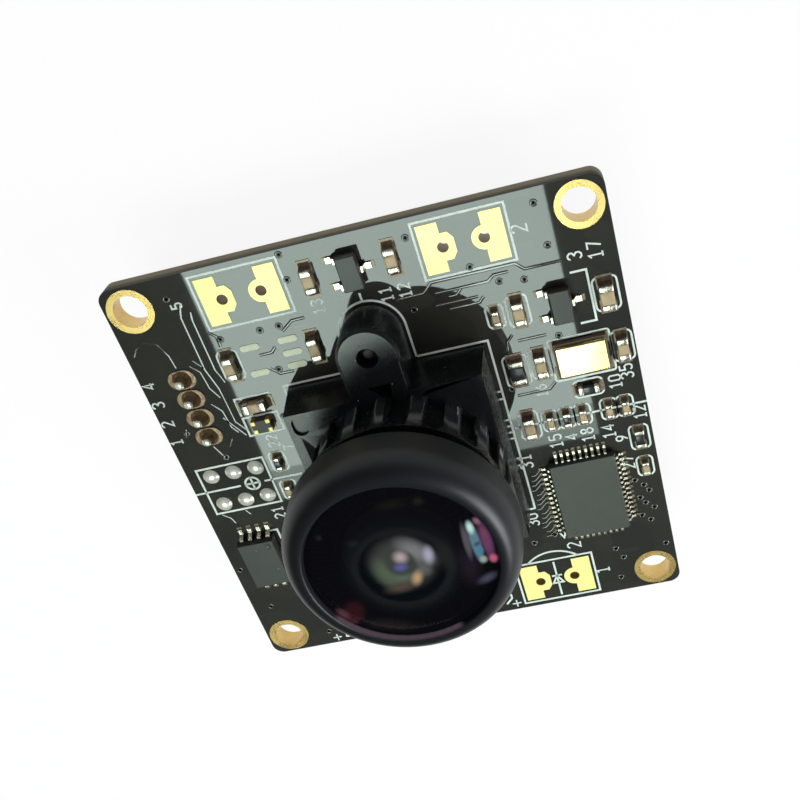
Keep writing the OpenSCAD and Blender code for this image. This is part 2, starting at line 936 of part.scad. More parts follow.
module crystal_base() {
    color("#8a7a55")
        on_board(crystal_at)
            translate([0, 0, 0.3 * crystal_h])
                cube([crystal_l, crystal_w, 0.6 * crystal_h], center = true);
}

module crystal_lid() {
    color("#e0b84f")
        on_board(crystal_at)
            translate([0, 0, 0.6 * crystal_h])
                bar([crystal_l - 0.3, crystal_w - 0.3, 0.4 * crystal_h], 0.1);
}

module large_capacitor() {
    color("#a98f6e")
        for (p = large_capacitor_at)
            on_board(p) chip_body(size_large);
}

module large_capacitor_ends() {
    color("#d6d2c4")
        for (p = large_capacitor_at)
            on_board(p) chip_ends(size_large);
}

module capacitors() {
    color("#a98f6e")
        for (p = capacitors_at)
            on_board(p) chip_body(size_medium);
}

module capacitor_ends() {
    color("#d6d2c4")
        for (p = capacitors_at)
            on_board(p) chip_ends(size_medium);
}

module small_capacitors() {
    color("#a98f6e")
        for (p = small_capacitors_at)
            on_board(p) chip_body(size_small);
}

module small_capacitor_ends() {
    color("#d6d2c4")
        for (p = small_capacitors_at)
            on_board(p) chip_ends(size_small);
}

module resistors() {
    color("#232425") {
        for (p = wide_resistor_at)
            on_board(p) chip_body(size_wide);
        for (p = resistor_at)
            on_board(p) chip_body(size_flat);
    }
}

module resistor_ends() {
    color("#d6d2c4") {
        for (p = wide_resistor_at)
            on_board(p) chip_ends(size_wide);
        for (p = resistor_at)
            on_board(p) chip_ends(size_flat);
    }
}

module small_resistor() {
    color("#232425")
        for (p = small_resistor_at)
            on_board(p) chip_body(size_small);
}

module small_resistor_ends() {
    color("#d6d2c4")
        for (p = small_resistor_at)
            on_board(p) chip_ends(size_small);
}

// Four corner terminals of the choke.
module choke_corners(side, h, grow) {
    reach = [for (s = [choke_size[0], choke_size[1]]) s / 2 + grow - side / 2];
    for (x = [-reach[0], reach[0]], y = [-reach[1], reach[1]])
        translate([x, y, h / 2])
            cube([side, side, h], center = true);
}

module choke() {
    color("#2b2724")
        on_board(choke_at)
            difference() {
                translate([0, 0, choke_size[2] / 2])
                    cube(choke_size, center = true);
                choke_corners(0.38, 3 * choke_size[2], 0);
            }
}

module choke_ends() {
    color("#d8bd72")
        on_board(choke_at)
            choke_corners(0.38, choke_size[2], 0);
}

module solder_fillets() {
    color("#cfccc0") {
        for (p = large_capacitor_at)
            on_board(p) chip_fillets(size_large);
        for (p = capacitors_at)
            on_board(p) chip_fillets(size_medium);
        for (p = concat(small_capacitors_at, small_resistor_at))
            on_board(p) chip_fillets(size_small);
        for (p = wide_resistor_at)
            on_board(p) chip_fillets(size_wide);
        for (p = resistor_at)
            on_board(p) chip_fillets(size_flat);
    }
}

module solder_bumps() {
    bump_h = 0.32;
    bump_ball = ball_r(bump_r, bump_h);
    color("#b9b7ad")
        for (x = bump_columns, y = [-bump_row, bump_row]) {
            q = place([x, y]);
            translate([q[0], q[1], top_z])
                intersection() {
                    cylinder(r = bump_r, h = 1);
                    translate([0, 0, bump_h - bump_ball])
                        sphere(bump_ball);
                }
        }
}

// --- cable header on the back ---

module header_housing() {
    length = (pin_count - 1) * pin_pitch + 3.9;
    floor_t = 1.3;
    mid_y = spread(header_y, 1);
    key = [1.0, 3.2];
    color("#e6e0cf")
        difference() {
            translate([header_inset - board_r - header_w / 2, mid_y - length / 2, -header_h])
                cube([header_w, length, header_h]);
            translate([
                header_inset - board_r - header_w / 2 + header_wall,
                mid_y - length / 2 + header_wall, -header_h - 1
            ])
                cube([header_w - 2 * header_wall, length - 2 * header_wall, header_h - floor_t + 1]);
            for (side = [-1, 1])
                translate([
                    header_inset - board_r + header_w / 2 - header_wall - eps,
                    mid_y + side * (length / 2 - 2.3) - key[0] / 2, -header_h - 1
                ])
                    cube([header_wall + 1, key[0], key[1] + 1]);
            at_pins()
                cube([pin_w, pin_w, 3 * header_h], center = true);
        }
}

module header_pins() {
    tip = 0.2;
    low_z = -header_h + 1.4;
    high_z = top_z + pin_tip_h;
    color("#cfc9b8")
        at_pins() {
            translate([-pin_w / 2, -pin_w / 2, low_z + tip])
                cube([pin_w, pin_w, high_z - low_z - 2 * tip]);
            translate([-pin_w / 4, -pin_w / 4, low_z])
                cube([pin_w / 2, pin_w / 2, tip]);
            turned([
                [0, high_z - tip], [0.62 * pin_w, high_z - tip], [0.6 * pin_w, high_z - 0.6 * tip],
                [0.4 * pin_w, high_z - 0.2 * tip], [0, high_z]
            ]);
        }
}

module pin_solder() {
    foot_r = 0.45 * pin_pitch;
    top_r = 0.6 * pin_w + 0.05;
    h = pin_tip_h - 0.2;
    color("#6e5436")
        at_pins()
            difference() {
                union() {
                    translate([0, 0, top_z])
                        linear_extrude(0.12)
                            oval(0.3, foot_r);
                    turned([
                        [0, top_z], [foot_r, top_z], [foot_r - 0.06, top_z + 0.15],
                        [0.55 * foot_r + 0.1, top_z + 0.45 * h], [top_r, top_z + h], [0, top_z + h]
                    ]);
                }
                cube([pin_w, pin_w, 6 * h + 6 * board_t], center = true);
            }
}

circuit_board();
hole_plating();
lamp_pads();
solder_pads();
bare_pads();
lens_holder();
holder_screws();
lens_barrel();
front_ring();
front_seal();
front_lens();
second_lens();
lens_spacer();
third_lens();
aperture_stop();
fourth_lens();
rear_spacer();
rear_lens();
infrared_filter();
sensor_package();
sensor_die();
sensor_glass();
sensor_contacts();
video_chip();
video_chip_leads();
memory_chip();
memory_chip_leads();
regulators();
regulator_leads();
crystal_base();
crystal_lid();
large_capacitor();
large_capacitor_ends();
capacitors();
capacitor_ends();
small_capacitors();
small_capacitor_ends();
resistors();
resistor_ends();
small_resistor();
small_resistor_ends();
choke();
choke_ends();
solder_fillets();
solder_bumps();
header_housing();
header_pins();
pin_solder();
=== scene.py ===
import math
import bpy
import bmesh
from mathutils import Matrix, Vector


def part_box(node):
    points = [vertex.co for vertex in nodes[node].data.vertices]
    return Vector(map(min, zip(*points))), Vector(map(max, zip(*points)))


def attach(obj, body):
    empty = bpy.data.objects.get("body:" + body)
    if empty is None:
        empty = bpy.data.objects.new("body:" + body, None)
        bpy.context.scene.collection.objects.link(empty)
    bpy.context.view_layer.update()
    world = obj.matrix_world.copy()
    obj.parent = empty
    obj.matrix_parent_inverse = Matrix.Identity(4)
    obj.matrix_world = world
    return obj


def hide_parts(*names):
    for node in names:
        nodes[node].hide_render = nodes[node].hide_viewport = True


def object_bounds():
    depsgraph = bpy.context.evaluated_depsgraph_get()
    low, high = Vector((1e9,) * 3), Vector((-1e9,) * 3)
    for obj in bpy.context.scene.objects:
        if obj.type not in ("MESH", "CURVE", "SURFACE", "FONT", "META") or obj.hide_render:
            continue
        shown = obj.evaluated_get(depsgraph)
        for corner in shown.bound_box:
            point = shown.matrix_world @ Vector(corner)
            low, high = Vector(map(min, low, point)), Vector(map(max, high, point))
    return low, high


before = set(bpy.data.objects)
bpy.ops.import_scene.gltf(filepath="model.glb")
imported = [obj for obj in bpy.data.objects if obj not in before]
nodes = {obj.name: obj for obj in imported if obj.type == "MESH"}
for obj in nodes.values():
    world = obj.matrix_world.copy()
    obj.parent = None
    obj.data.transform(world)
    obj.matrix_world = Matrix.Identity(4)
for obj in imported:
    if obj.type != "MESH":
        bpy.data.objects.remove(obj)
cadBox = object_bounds()
mm = 0.001


def boxMm(node):
    low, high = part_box(node)
    return low / mm, high / mm


boardTop = boxMm("circuit_board")[1].z
holderHigh = boxMm("lens_holder")[1]
print("frame loaded:", len(nodes), "nodes")

cameraLook = {
    "place": (16.57, 41.74, 65.68 + boardTop),  # mm, in front of the header end
    "turn": (-32.26, 0.37, -14.32),
    "lens": 44.085,
    "sensor": 36,
    "shift": (-0.0995, 0.0218),
    "clip": (0.002, 20),  # metres
}


def makeCamera(look):
    camera = bpy.data.cameras.new("viewCamera")
    camera.lens = look["lens"]
    camera.sensor_width = look["sensor"]
    camera.shift_x, camera.shift_y = look["shift"]
    camera.clip_start, camera.clip_end = look["clip"]
    holder = bpy.data.objects.new("viewCamera", camera)
    holder.location = Vector(look["place"]) * mm
    holder.rotation_euler = [math.radians(a) for a in look["turn"]]
    bpy.context.collection.objects.link(holder)
    bpy.context.scene.camera = holder


makeCamera(cameraLook)
bpy.context.scene.view_settings.view_transform = "Standard"
print("camera placed")


def newMaterial(name):
    material = bpy.data.materials.new(name)
    material.use_nodes = True
    tree = material.node_tree
    return material, tree, tree.nodes["Principled BSDF"]


def feed(tree, socket, value):
    # another node's output is linked to the socket, anything else is set on it
    if isinstance(value, bpy.types.NodeSocket):
        tree.links.new(value, socket)
    elif socket.type == "RGBA":
        socket.default_value = (*value, 1)
    else:
        socket.default_value = value


def addNode(tree, kind, **values):
    # a node with its options, and with its sockets named with _ for a blank
    node = tree.nodes.new(kind)
    for key, value in values.items():
        if hasattr(node, key):
            setattr(node, key, value)
        else:
            feed(tree, node.inputs[key.replace("_", " ")], value)
    return node


def doMath(tree, operation, *terms):
    node = addNode(tree, "ShaderNodeMath", operation=operation)
    for socket, term in zip(node.inputs, terms):
        feed(tree, socket, term)
    return node.outputs[0]


def addGroup(tree, group, **values):
    node = tree.nodes.new("ShaderNodeGroup")
    node.node_tree = group
    for key, value in values.items():
        feed(tree, node.inputs[key], value)
    return node


def objectCoordinates(tree):
    return tree.nodes.new("ShaderNodeTexCoord").outputs["Object"]


def mixColours(tree, mask, first, second):
    # the first colour where the mask is zero, the second where it is one
    mix = addNode(tree, "ShaderNodeMix", data_type="RGBA")
    feed(tree, mix.inputs["Factor"], mask)
    feed(tree, mix.inputs["A"], first)
    feed(tree, mix.inputs["B"], second)
    return mix.outputs["Result"]


def levelMask(tree, level=0.5):
    # one on faces that look up or down, zero on walls
    facing = addNode(tree, "ShaderNodeNewGeometry")
    parts = addNode(tree, "ShaderNodeSeparateXYZ", Vector=facing.outputs["Normal"])
    return doMath(tree, "GREATER_THAN", doMath(tree, "ABSOLUTE", parts.outputs["Z"]), level)


def mixShaders(tree, share, first, second):
    mix = tree.nodes.new("ShaderNodeMixShader")
    for socket, value in zip(mix.inputs, (share, first, second)):
        feed(tree, socket, value)
    return mix.outputs["Shader"]


def newGroup(name, inputs, outputs):
    group = bpy.data.node_groups.new(name, "ShaderNodeTree")
    group.interface.new_socket("Vector", in_out="INPUT", socket_type="NodeSocketVector")
    for label, start in inputs.items():
        socket = group.interface.new_socket(label, in_out="INPUT", socket_type="NodeSocketFloat")
        socket.default_value = start
    for label, kind in outputs.items():
        group.interface.new_socket(label, in_out="OUTPUT", socket_type=kind)
    return group, group.nodes.new("NodeGroupInput"), group.nodes.new("NodeGroupOutput")


def makeSurfaceGrain():
    # fine unevenness: a bumped normal, a roughness and a patchy mask
    group, start, end = newGroup(
        "surfaceGrain",
        {"Scale": 9000, "Depth": 0.3, "Roughness": 0.4, "Spread": 0.1, "Patch": 400},
        {"Normal": "NodeSocketVector", "Roughness": "NodeSocketFloat", "Mask": "NodeSocketFloat"},
    )
    given, result = start.outputs, end.inputs
    fine = addNode(group, "ShaderNodeTexNoise", Vector=given["Vector"], Scale=given["Scale"], Detail=4.0)
    bump = addNode(
        group, "ShaderNodeBump", Height=fine.outputs["Fac"], Strength=given["Depth"], Distance=0.02 * mm
    )
    patch = addNode(group, "ShaderNodeTexNoise", Vector=given["Vector"], Scale=given["Patch"], Detail=3.0)
    centred = doMath(group, "SUBTRACT", patch.outputs["Fac"], 0.5)
    rough = doMath(group, "MULTIPLY_ADD", centred, given["Spread"], given["Roughness"])
    feed(group, result["Normal"], bump.outputs["Normal"])
    feed(group, result["Roughness"], rough)
    feed(group, result["Mask"], patch.outputs["Fac"])
    return group


dustLook = {"scale": 3500, "speck": 0.16, "tone": (0.3, 0.3, 0.3)}


def makeFineDust(look):
    # sparse specks, a share of the cells of a pattern
    group, start, end = newGroup(
        "fineDust", {"Scale": look["scale"], "Amount": 0.2}, {"Mask": "NodeSocketFloat"}
    )
    given = start.outputs
    specks = addNode(
        group, "ShaderNodeTexVoronoi", feature="F1", Vector=given["Vector"], Scale=given["Scale"]
    )
    near = doMath(group, "LESS_THAN", specks.outputs["Distance"], look["speck"])
    pick = addNode(group, "ShaderNodeSeparateColor", Color=specks.outputs["Color"])
    some = doMath(group, "LESS_THAN", pick.outputs["Red"], given["Amount"])
    feed(group, end.inputs["Mask"], doMath(group, "MULTIPLY", near, some))
    return group


surfaceGrain = makeSurfaceGrain()
fineDust = makeFineDust(dustLook)

# what a finish has where it says nothing else
plainFinish = {
    "grain": 9000, "depth": 0.2, "spread": 0.15, "patch": 400, "paintedWallShade": None, "dust": 0.0,
    "metal": 0.0, "specular": 0.5, "coat": 0.0, "coatRough": 0.05,
}


def setShader(tree, shader, **values):
    # the principled surface's sockets, named with _ for a blank
    for key, value in values.items():
        feed(tree, shader.inputs[key.replace("_", " ")], value)


def grainedFinish(name, look):
    # one principled surface with two mixed tones, grain, dust, and a painted shade tone for walls
    look = {**plainFinish, **look}
    material, tree, shader = newMaterial(name)
    place = objectCoordinates(tree)
    grain = addGroup(
        tree, surfaceGrain, Vector=place, Scale=look["grain"], Depth=look["depth"],
        Roughness=look["rough"], Spread=look["spread"], Patch=look["patch"],
    ).outputs
    colour = mixColours(tree, grain["Mask"], look["dark"], look["light"])
    if look["dust"]:
        dust = addGroup(tree, fineDust, Vector=place, Amount=look["dust"])
        colour = mixColours(tree, dust.outputs["Mask"], colour, dustLook["tone"])
    # painted shade: walls take a darker tone than faces that look up or down
    if look["paintedWallShade"]:
        colour = mixColours(tree, levelMask(tree), look["paintedWallShade"], colour)
    setShader(
        tree, shader, Base_Color=colour, Roughness=grain["Roughness"], Normal=grain["Normal"],
        Metallic=look["metal"], Specular_IOR_Level=look["specular"],
        Coat_Weight=look["coat"], Coat_Roughness=look["coatRough"],
    )
    return material


finishes = {
    # gold's walls are darkened with painted shade
    "gold": {"dark": (0.96, 0.82, 0.28), "light": (1.0, 0.92, 0.36), "rough": 0.34, "spread": 0.2,
             "paintedWallShade": (0.30, 0.16, 0.03), "metal": 0.15, "depth": 0.35, "grain": 12000, "patch": 1500},
    "holeGold": {"dark": (0.52, 0.32, 0.09), "light": (0.92, 0.67, 0.26), "rough": 0.27, "spread": 0.25,
                 "metal": 0.75, "depth": 0.18, "grain": 7000, "patch": 500},
    "tin": {"dark": (0.44, 0.39, 0.31), "light": (0.86, 0.82, 0.70), "rough": 0.27, "spread": 0.25,
            "metal": 0.95, "depth": 0.7, "grain": 6000, "patch": 2500},
    "padTin": {"dark": (0.40, 0.40, 0.29), "light": (0.62, 0.62, 0.46), "rough": 0.36, "spread": 0.2,
               "metal": 0.06, "depth": 0.6, "grain": 6000, "patch": 2500},
    "filletSolder": {"dark": (0.035, 0.018, 0.010), "light": (0.26, 0.20, 0.14), "rough": 0.33,
                     "spread": 0.25, "metal": 0.55, "depth": 0.8, "grain": 5000, "patch": 3200},
    "solderBright": {"dark": (0.80, 0.78, 0.68), "light": (1.0, 0.99, 0.90), "rough": 0.34,
                     "spread": 0.25, "metal": 0.6, "depth": 0.6, "grain": 3500, "patch": 2200},
    "holderBlack": {"dark": (0.005, 0.006, 0.007), "light": (0.009, 0.010, 0.011), "rough": 0.27,
                    "spread": 0.12, "depth": 0.22, "grain": 14000, "patch": 500, "dust": 0.015},
    "screwNickel": {"dark": (0.02, 0.02, 0.02), "light": (0.05, 0.05, 0.05), "rough": 0.4, "metal": 0.6},
    "lensBlack": {"dark": (0.005, 0.0055, 0.0065), "light": (0.007, 0.0075, 0.009), "rough": 0.40,
                  "spread": 0.06, "specular": 0.26, "depth": 0.1, "grain": 20000, "patch": 300},
    "innerBlack": {"dark": (0.003, 0.003, 0.0035), "light": (0.004, 0.004, 0.005), "rough": 0.8,
                   "specular": 0.0},
    "sealRubber": {"dark": (0.01, 0.01, 0.01), "light": (0.02, 0.02, 0.02), "rough": 0.6},
    "sensorBody": {"dark": (0.04, 0.042, 0.046), "light": (0.06, 0.062, 0.068), "rough": 0.5},
    "chipResin": {"dark": (0.032, 0.035, 0.029), "light": (0.046, 0.049, 0.040), "rough": 0.46,
                  "spread": 0.1, "depth": 0.5, "grain": 9000, "patch": 900, "dust": 0.02},
    "memoryResin": {"dark": (0.019, 0.0195, 0.017), "light": (0.028, 0.029, 0.024), "rough": 0.42,
                    "spread": 0.1, "depth": 0.4, "grain": 9000, "patch": 900, "dust": 0.02},
    "crystalCase": {"dark": (0.08, 0.06, 0.04), "light": (0.13, 0.10, 0.06), "rough": 0.5},
    "crystalGold": {"dark": (0.84, 0.64, 0.26), "light": (0.95, 0.80, 0.42), "rough": 0.2, "spread": 0.2,
                    "metal": 1.0, "depth": 0.3, "grain": 9000, "patch": 1200},
    "capacitorTan": {"dark": (0.33, 0.235, 0.130), "light": (0.50, 0.385, 0.225), "rough": 0.4,
                     "depth": 0.35, "grain": 9000, "patch": 1500},
    "resistorBlack": {"dark": (0.010, 0.010, 0.012), "light": (0.022, 0.022, 0.024), "rough": 0.25,
                      "depth": 0.3, "grain": 6000, "patch": 1500},
    "ferriteGrey": {"dark": (0.030, 0.024, 0.020), "light": (0.050, 0.042, 0.036), "rough": 0.5},
    "headerPlastic": {"dark": (0.66, 0.60, 0.48), "light": (0.74, 0.69, 0.57), "rough": 0.42,
                      "depth": 0.2, "grain": 9000, "patch": 400},
    "fluxedSolder": {"dark": (0.10, 0.055, 0.025), "light": (0.30, 0.20, 0.11), "rough": 0.3,
                     "spread": 0.3, "metal": 0.5, "depth": 0.8, "grain": 3500, "patch": 2500,
                     "coat": 0.7, "coatRough": 0.12},
    "silicon": {"dark": (0.06, 0.04, 0.10), "light": (0.12, 0.08, 0.16), "rough": 0.15,
                "metal": 0.8, "depth": 0.05},
    "printWhite": {"dark": (0.56, 0.62, 0.58), "light": (0.76, 0.83, 0.79), "rough": 0.6,
                   "depth": 0.5, "grain": 12000, "patch": 3500},
}
materials = {name: grainedFinish(name, look) for name, look in finishes.items()}

boardLook = {
    "mask": (0.014, 0.0135, 0.011),
    "maskOverCopper": (0.022, 0.021, 0.016),
    "maskOverTrack": (0.04, 0.037, 0.028),
    "laminate": (0.27, 0.22, 0.14),
    "laminateDark": (0.17, 0.14, 0.085),
    "laminateTop": (0.045, 0.040, 0.030),
    "topBand": (1.1, 0.2),  # mm below the top face, where the laminate turns dark
    "rough": 0.6,
    "specular": 0.15,
    "coatRough": 0.025,
}


def makeBoardMaterial(look):
    # glossy mask on the faces, glass-fibre laminate on the cut edges
    material, tree, shader = newMaterial("boardMask")
    place = objectCoordinates(tree)
    grain = addGroup(
        tree, surfaceGrain, Vector=place, Scale=2200, Depth=0.16, Roughness=0.2, Spread=0.12, Patch=260
    )
    pour = addNode(
        tree, "ShaderNodeTexVoronoi", feature="F1", distance="CHEBYCHEV", Vector=place, Scale=330.0
    )
    pick = addNode(tree, "ShaderNodeSeparateColor", Color=pour.outputs["Color"])
    face = mixColours(tree, pick.outputs["Red"], look["mask"], look["maskOverCopper"])
    weave = addNode(
        tree, "ShaderNodeTexWave", bands_direction="Z",
        Vector=place, Scale=1500.0, Distortion=3.0, Detail=2.0,
    )
    fibres = mixColours(tree, weave.outputs["Fac"], look["laminateDark"], look["laminate"])
    height = addNode(tree, "ShaderNodeSeparateXYZ", Vector=place)
    bandLow, bandHigh = ((boardTop - below) * mm for below in look["topBand"])
    nearTop = addNode(
        tree, "ShaderNodeMapRange", interpolation_type="SMOOTHSTEP",
        Value=height.outputs["Z"], From_Min=bandLow, From_Max=bandHigh,
    )
    edge = mixColours(tree, nearTop.outputs["Result"], fibres, look["laminateTop"])
    isFace = levelMask(tree)
    setShader(
        tree, shader, Base_Color=mixColours(tree, isFace, edge, face), Normal=grain.outputs["Normal"],
        Roughness=look["rough"], Specular_IOR_Level=look["specular"],
        Coat_Weight=isFace, Coat_Roughness=look["coatRough"],
    )
    return material


def makeMaskMaterial(look):
    # the mask where it climbs over a track
    material, tree, shader = newMaterial("maskOverTrack")
    place = objectCoordinates(tree)
    grain = addGroup(
        tree, surfaceGrain, Vector=place, Scale=2600, Depth=0.2, Roughness=0.16, Spread=0.1, Patch=900
    ).outputs
    colour = mixColours(tree, grain["Mask"], look["maskOverCopper"], look["maskOverTrack"])
    setShader(
        tree, shader, Base_Color=colour, Roughness=grain["Roughness"], Normal=grain["Normal"],
        Coat_Weight=1.0, Coat_Roughness=look["coatRough"],
    )
    return material


def makeSoftSpot():
    # a soft-edged disc of radius one round the origin of the vector
    group, start, end = newGroup("softSpot", {"Softness": 0.5}, {"Mask": "NodeSocketFloat"})
    flat = addNode(group, "ShaderNodeVectorMath", operation="MULTIPLY")
    feed(group, flat.inputs[0], start.outputs["Vector"])
    feed(group, flat.inputs[1], (1, 1, 0))
    reach = addNode(group, "ShaderNodeVectorMath", operation="LENGTH")
    feed(group, reach.inputs[0], flat.outputs["Vector"])
    core = doMath(group, "SUBTRACT", 1.0, start.outputs["Softness"])
    fade = addNode(
        group, "ShaderNodeMapRange", interpolation_type="SMOOTHSTEP",
        Value=reach.outputs["Value"], From_Min=core, From_Max=1.0, To_Min=1.0, To_Max=0.0,
    )
    feed(group, end.inputs["Mask"], fade.outputs["Result"])
    return group


softSpot = makeSoftSpot()


def spotMask(tree, place, spot):
    # the mask of one ellipse: centre and two radii in mm, turn in degrees, softness
    x, y, wide, tall, turn, soft = spot
    fit = addNode(
        tree, "ShaderNodeMapping", vector_type="TEXTURE", Vector=place, Location=(x * mm, y * mm, 0),
        Rotation=(0, 0, math.radians(turn)), Scale=(wide * mm, tall * mm, 1),
    )
    return addGroup(tree, softSpot, Vector=fit.outputs["Vector"], Softness=soft).outputs["Mask"]


def paintedReflectionSpots(tree, place, spots, ground):
    # painted reflections laid over each other, each as a soft ellipse of glowing colour
    tone = ground
    for colour, *spot in spots:
        tone = mixColours(tree, spotMask(tree, place, spot), tone, colour)
    return tone


def arcSpots(look):
    # soft ellipses laid end to end along an arc round the lens axis
    spots = []
    for i in range(look["count"]):
        turn = look["start"] + (look["end"] - look["start"]) * i / (look["count"] - 1)
        x = look["radius"] * math.cos(math.radians(turn))
        y = look["radius"] * math.sin(math.radians(turn))
        spots.append((look["colour"], x, y, look["wide"], look["tall"], turn + 90, look["soft"]))
    return spots


# a glass without painted reflections of its own shows no glow
plainGlass = {"glow": (0.0, 0.0, 0.0), "spots": [], "most": 1.0}
glassLooks = {
    "frontGlass": {
        "tint": (0.90, 0.91, 0.93), "mirror": (1.0, 0.93, 1.0), "strength": 0.5, "rough": 0.02,
        # glow: a faint painted glow over the whole front glass
        "most": 0.008, "glow": (0.0026, 0.0027, 0.0038),
        # painted reflections that glow: the pupil's haze, rings and coloured glints of the lenses behind,
        # and the window's strips near the right edge, at the height where the front glass shows them
        "spots": [
            ((0.0055, 0.0068, 0.0080), 0.15, -0.15, 4.5, 4.5, 0, 0.3),
            ((0.0090, 0.0108, 0.0112), 0.15, -0.15, 3.7, 3.7, 0, 0.12),
            ((0.0015, 0.0030, 0.0046), 0.10, -0.1, 3.1, 3.1, 0, 0.1),
            ((0.0135, 0.0150, 0.0160), 3.1, 0.3, 1.0, 1.9, 0, 0.9),
            ((0.044, 0.047, 0.046), 0.2, 0.35, 2.75, 2.75, 0, 0.5),
            ((0.17, 0.18, 0.185), 1.3, 1.1, 1.15, 2.1, 38, 0.9),
            ((0.078, 0.108, 0.068), -1.15, -0.2, 1.05, 1.85, 12, 0.95),
            ((0.085, 0.120, 0.085), -0.15, -0.9, 1.6, 0.95, 0, 1.0),
            ((0.10, 0.105, 0.105), 1.45, -0.5, 0.8, 0.9, 0, 0.9),
            ((0.075, 0.058, 0.044), -0.45, -1.65, 1.6, 0.72, 4, 1.0),
            ((0.46, 0.31, 0.17), 0.8, -1.12, 0.56, 0.95, -25, 1.0),
            ((0.36, 0.36, 0.47), 2.08, 0.62, 0.56, 1.1, -8, 0.95),
            ((0.042, 0.052, 0.042), 0.1, 0.4, 1.25, 1.3, 0, 0.4),
            ((0.42, 0.345, 0.36), 0.22, 0.85, 0.74, 0.8, 0, 1.0),
            ((0.095, 0.105, 0.28), 0.0, 0.02, 0.72, 0.58, 0, 1.0),
            ((0.013, 0.0095, 0.016), 4.6, -0.9, 1.2, 2.6, -8, 0.9),
            ((0.085, 0.077, 0.092), 4.9, 1.1, 0.36, 2.0, -3, 0.7),
            ((0.10, 0.19, 0.24), 5.5, 0.9, 0.48, 2.2, 0, 0.55),
            ((0.50, 0.76, 0.68), 5.45, 2.2, 0.38, 0.8, 0, 0.9),
            ((0.045, 0.075, 0.115), 5.6, 0.75, 0.5, 0.3, 25, 0.9),
            ((0.055, 0.19, 0.31), 5.6, 0.15, 0.4, 0.45, 0, 0.8),
            ((0.27, 0.36, 0.31), 5.65, -0.65, 0.42, 0.45, 0, 0.8),
            ((0.125, 0.045, 0.115), 6.28, 0.95, 0.6, 2.3, 0, 0.7),
            ((0.23, 0.11, 0.14), 6.05, 2.65, 0.36, 0.5, 20, 0.9),
            ((0.18, 0.05, 0.06), 6.3, 1.5, 0.18, 0.8, 8, 0.9),
            ((0.46, 0.10, 0.18), 6.38, -0.72, 0.45, 0.55, 0, 0.8),
            ((0.060, 0.058, 0.098), 5.55, -2.35, 1.2, 0.55, 20, 1.0),
            ((0.0075, 0.0068, 0.0060), 0.9, 5.3, 1.5, 0.6, 0, 0.9),
            ((0.014, 0.011, 0.008), 2.7, 5.15, 0.6, 0.55, 0, 0.9),
            ((0.0075, 0.014, 0.013), -2.5, 2.7, 0.6, 0.5, 0, 1.0),
            ((0.015, 0.0135, 0.0135), -4.6, 3.8, 0.34, 0.4, 0, 1.0),
            ((0.011, 0.0085, 0.0095), -2.2, -4.9, 2.6, 0.9, -18, 0.9),
            ((0.024, 0.006, 0.008), -4.35, -3.1, 1.0, 1.35, -30, 0.6),
            ((0.085, 0.032, 0.042), -5.2, -3.2, 0.5, 0.95, 28, 0.85),
            ((0.045, 0.016, 0.022), -4.7, -4.0, 0.6, 0.5, 0, 0.9),
        ],
    },
    # the second glass lets little light through: its dark tint is painted shade for the dark inside of the
    # lens
    "secondGlass": {
        "tint": (0.05, 0.05, 0.06), "mirror": (0.7, 1.0, 0.85), "strength": 0.02, "rough": 0.15,
    },
    "innerGlass": {
        "tint": (0.6, 0.6, 0.65), "mirror": (1.0, 0.8, 0.9), "strength": 0.5, "rough": 0.05,
    },
    "filterGlass": {
        "tint": (0.35, 0.75, 0.78), "mirror": (1.0, 0.5, 0.5), "strength": 0.9, "rough": 0.03,
    },
}
# the plane that the glass's painted reflections lie on
imageLook = {"sunk": 1.69, "slant": (0.32, 0.80, 0.0)}  # mm below the glass's top, and its lean


def sunkPlace(tree, place, look):
    # the place on a level plane behind the glass, along one fixed slant
    high = boxMm("front_lens")[1].z - look["sunk"]
    parts = addNode(tree, "ShaderNodeSeparateXYZ", Vector=place)
    fall = doMath(tree, "SUBTRACT", high * mm, parts.outputs["Z"])
    step = addNode(tree, "ShaderNodeVectorMath", operation="SCALE", Vector=look["slant"], Scale=fall)
    there = addNode(tree, "ShaderNodeVectorMath", operation="ADD")
    feed(tree, there.inputs[0], place)
    feed(tree, there.inputs[1], step.outputs["Vector"])
    return there.outputs["Vector"]


def makeGlass(name, look):
    # tinted see-through glass with a coloured, coated reflection, all of it on the outer side, and painted
    # reflections glowing on its front faces
    look = {**plainGlass, **look}
    material, tree, shader = newMaterial(name)
    tree.nodes.remove(shader)
    through = addNode(tree, "ShaderNodeBsdfTransparent", Color=look["tint"])
    mirror = addNode(tree, "ShaderNodeBsdfGlossy", Color=look["mirror"], Roughness=look["rough"])
    edge = addNode(tree, "ShaderNodeFresnel", IOR=1.5)
    facing = addNode(tree, "ShaderNodeNewGeometry")
    front = doMath(tree, "SUBTRACT", 1.0, facing.outputs["Backfacing"])
    share = doMath(tree, "MULTIPLY", edge.outputs[0], look["strength"])
    capped = doMath(tree, "MINIMUM", share, look["most"])
    mix = mixShaders(
        tree, doMath(tree, "MULTIPLY", capped, front), through.outputs["BSDF"], mirror.outputs["BSDF"]
    )
    # painted reflections: glowing spots on a plane behind the glass, shown on the front faces only
    place = sunkPlace(tree, objectCoordinates(tree), imageLook)
    tone = paintedReflectionSpots(tree, place, look["spots"], look["glow"])
    glow = addNode(tree, "ShaderNodeEmission", Color=tone, Strength=front)
    both = tree.nodes.new("ShaderNodeAddShader")
    feed(tree, both.inputs[0], mix)
    feed(tree, both.inputs[1], glow.outputs["Emission"])
    feed(tree, tree.nodes["Material Output"].inputs["Surface"], both.outputs["Shader"])
    return material


# an arc of painted reflection on the front ring's inner lip
lipReflectionLook = {
    "colour": (0.068, 0.048, 0.058), "radius": 6.66, "start": 214, "end": 290, "count": 14,
    "wide": 0.8, "tall": 0.40, "soft": 0.85, "reach": 7.6, "reachSoft": 0.02,
}


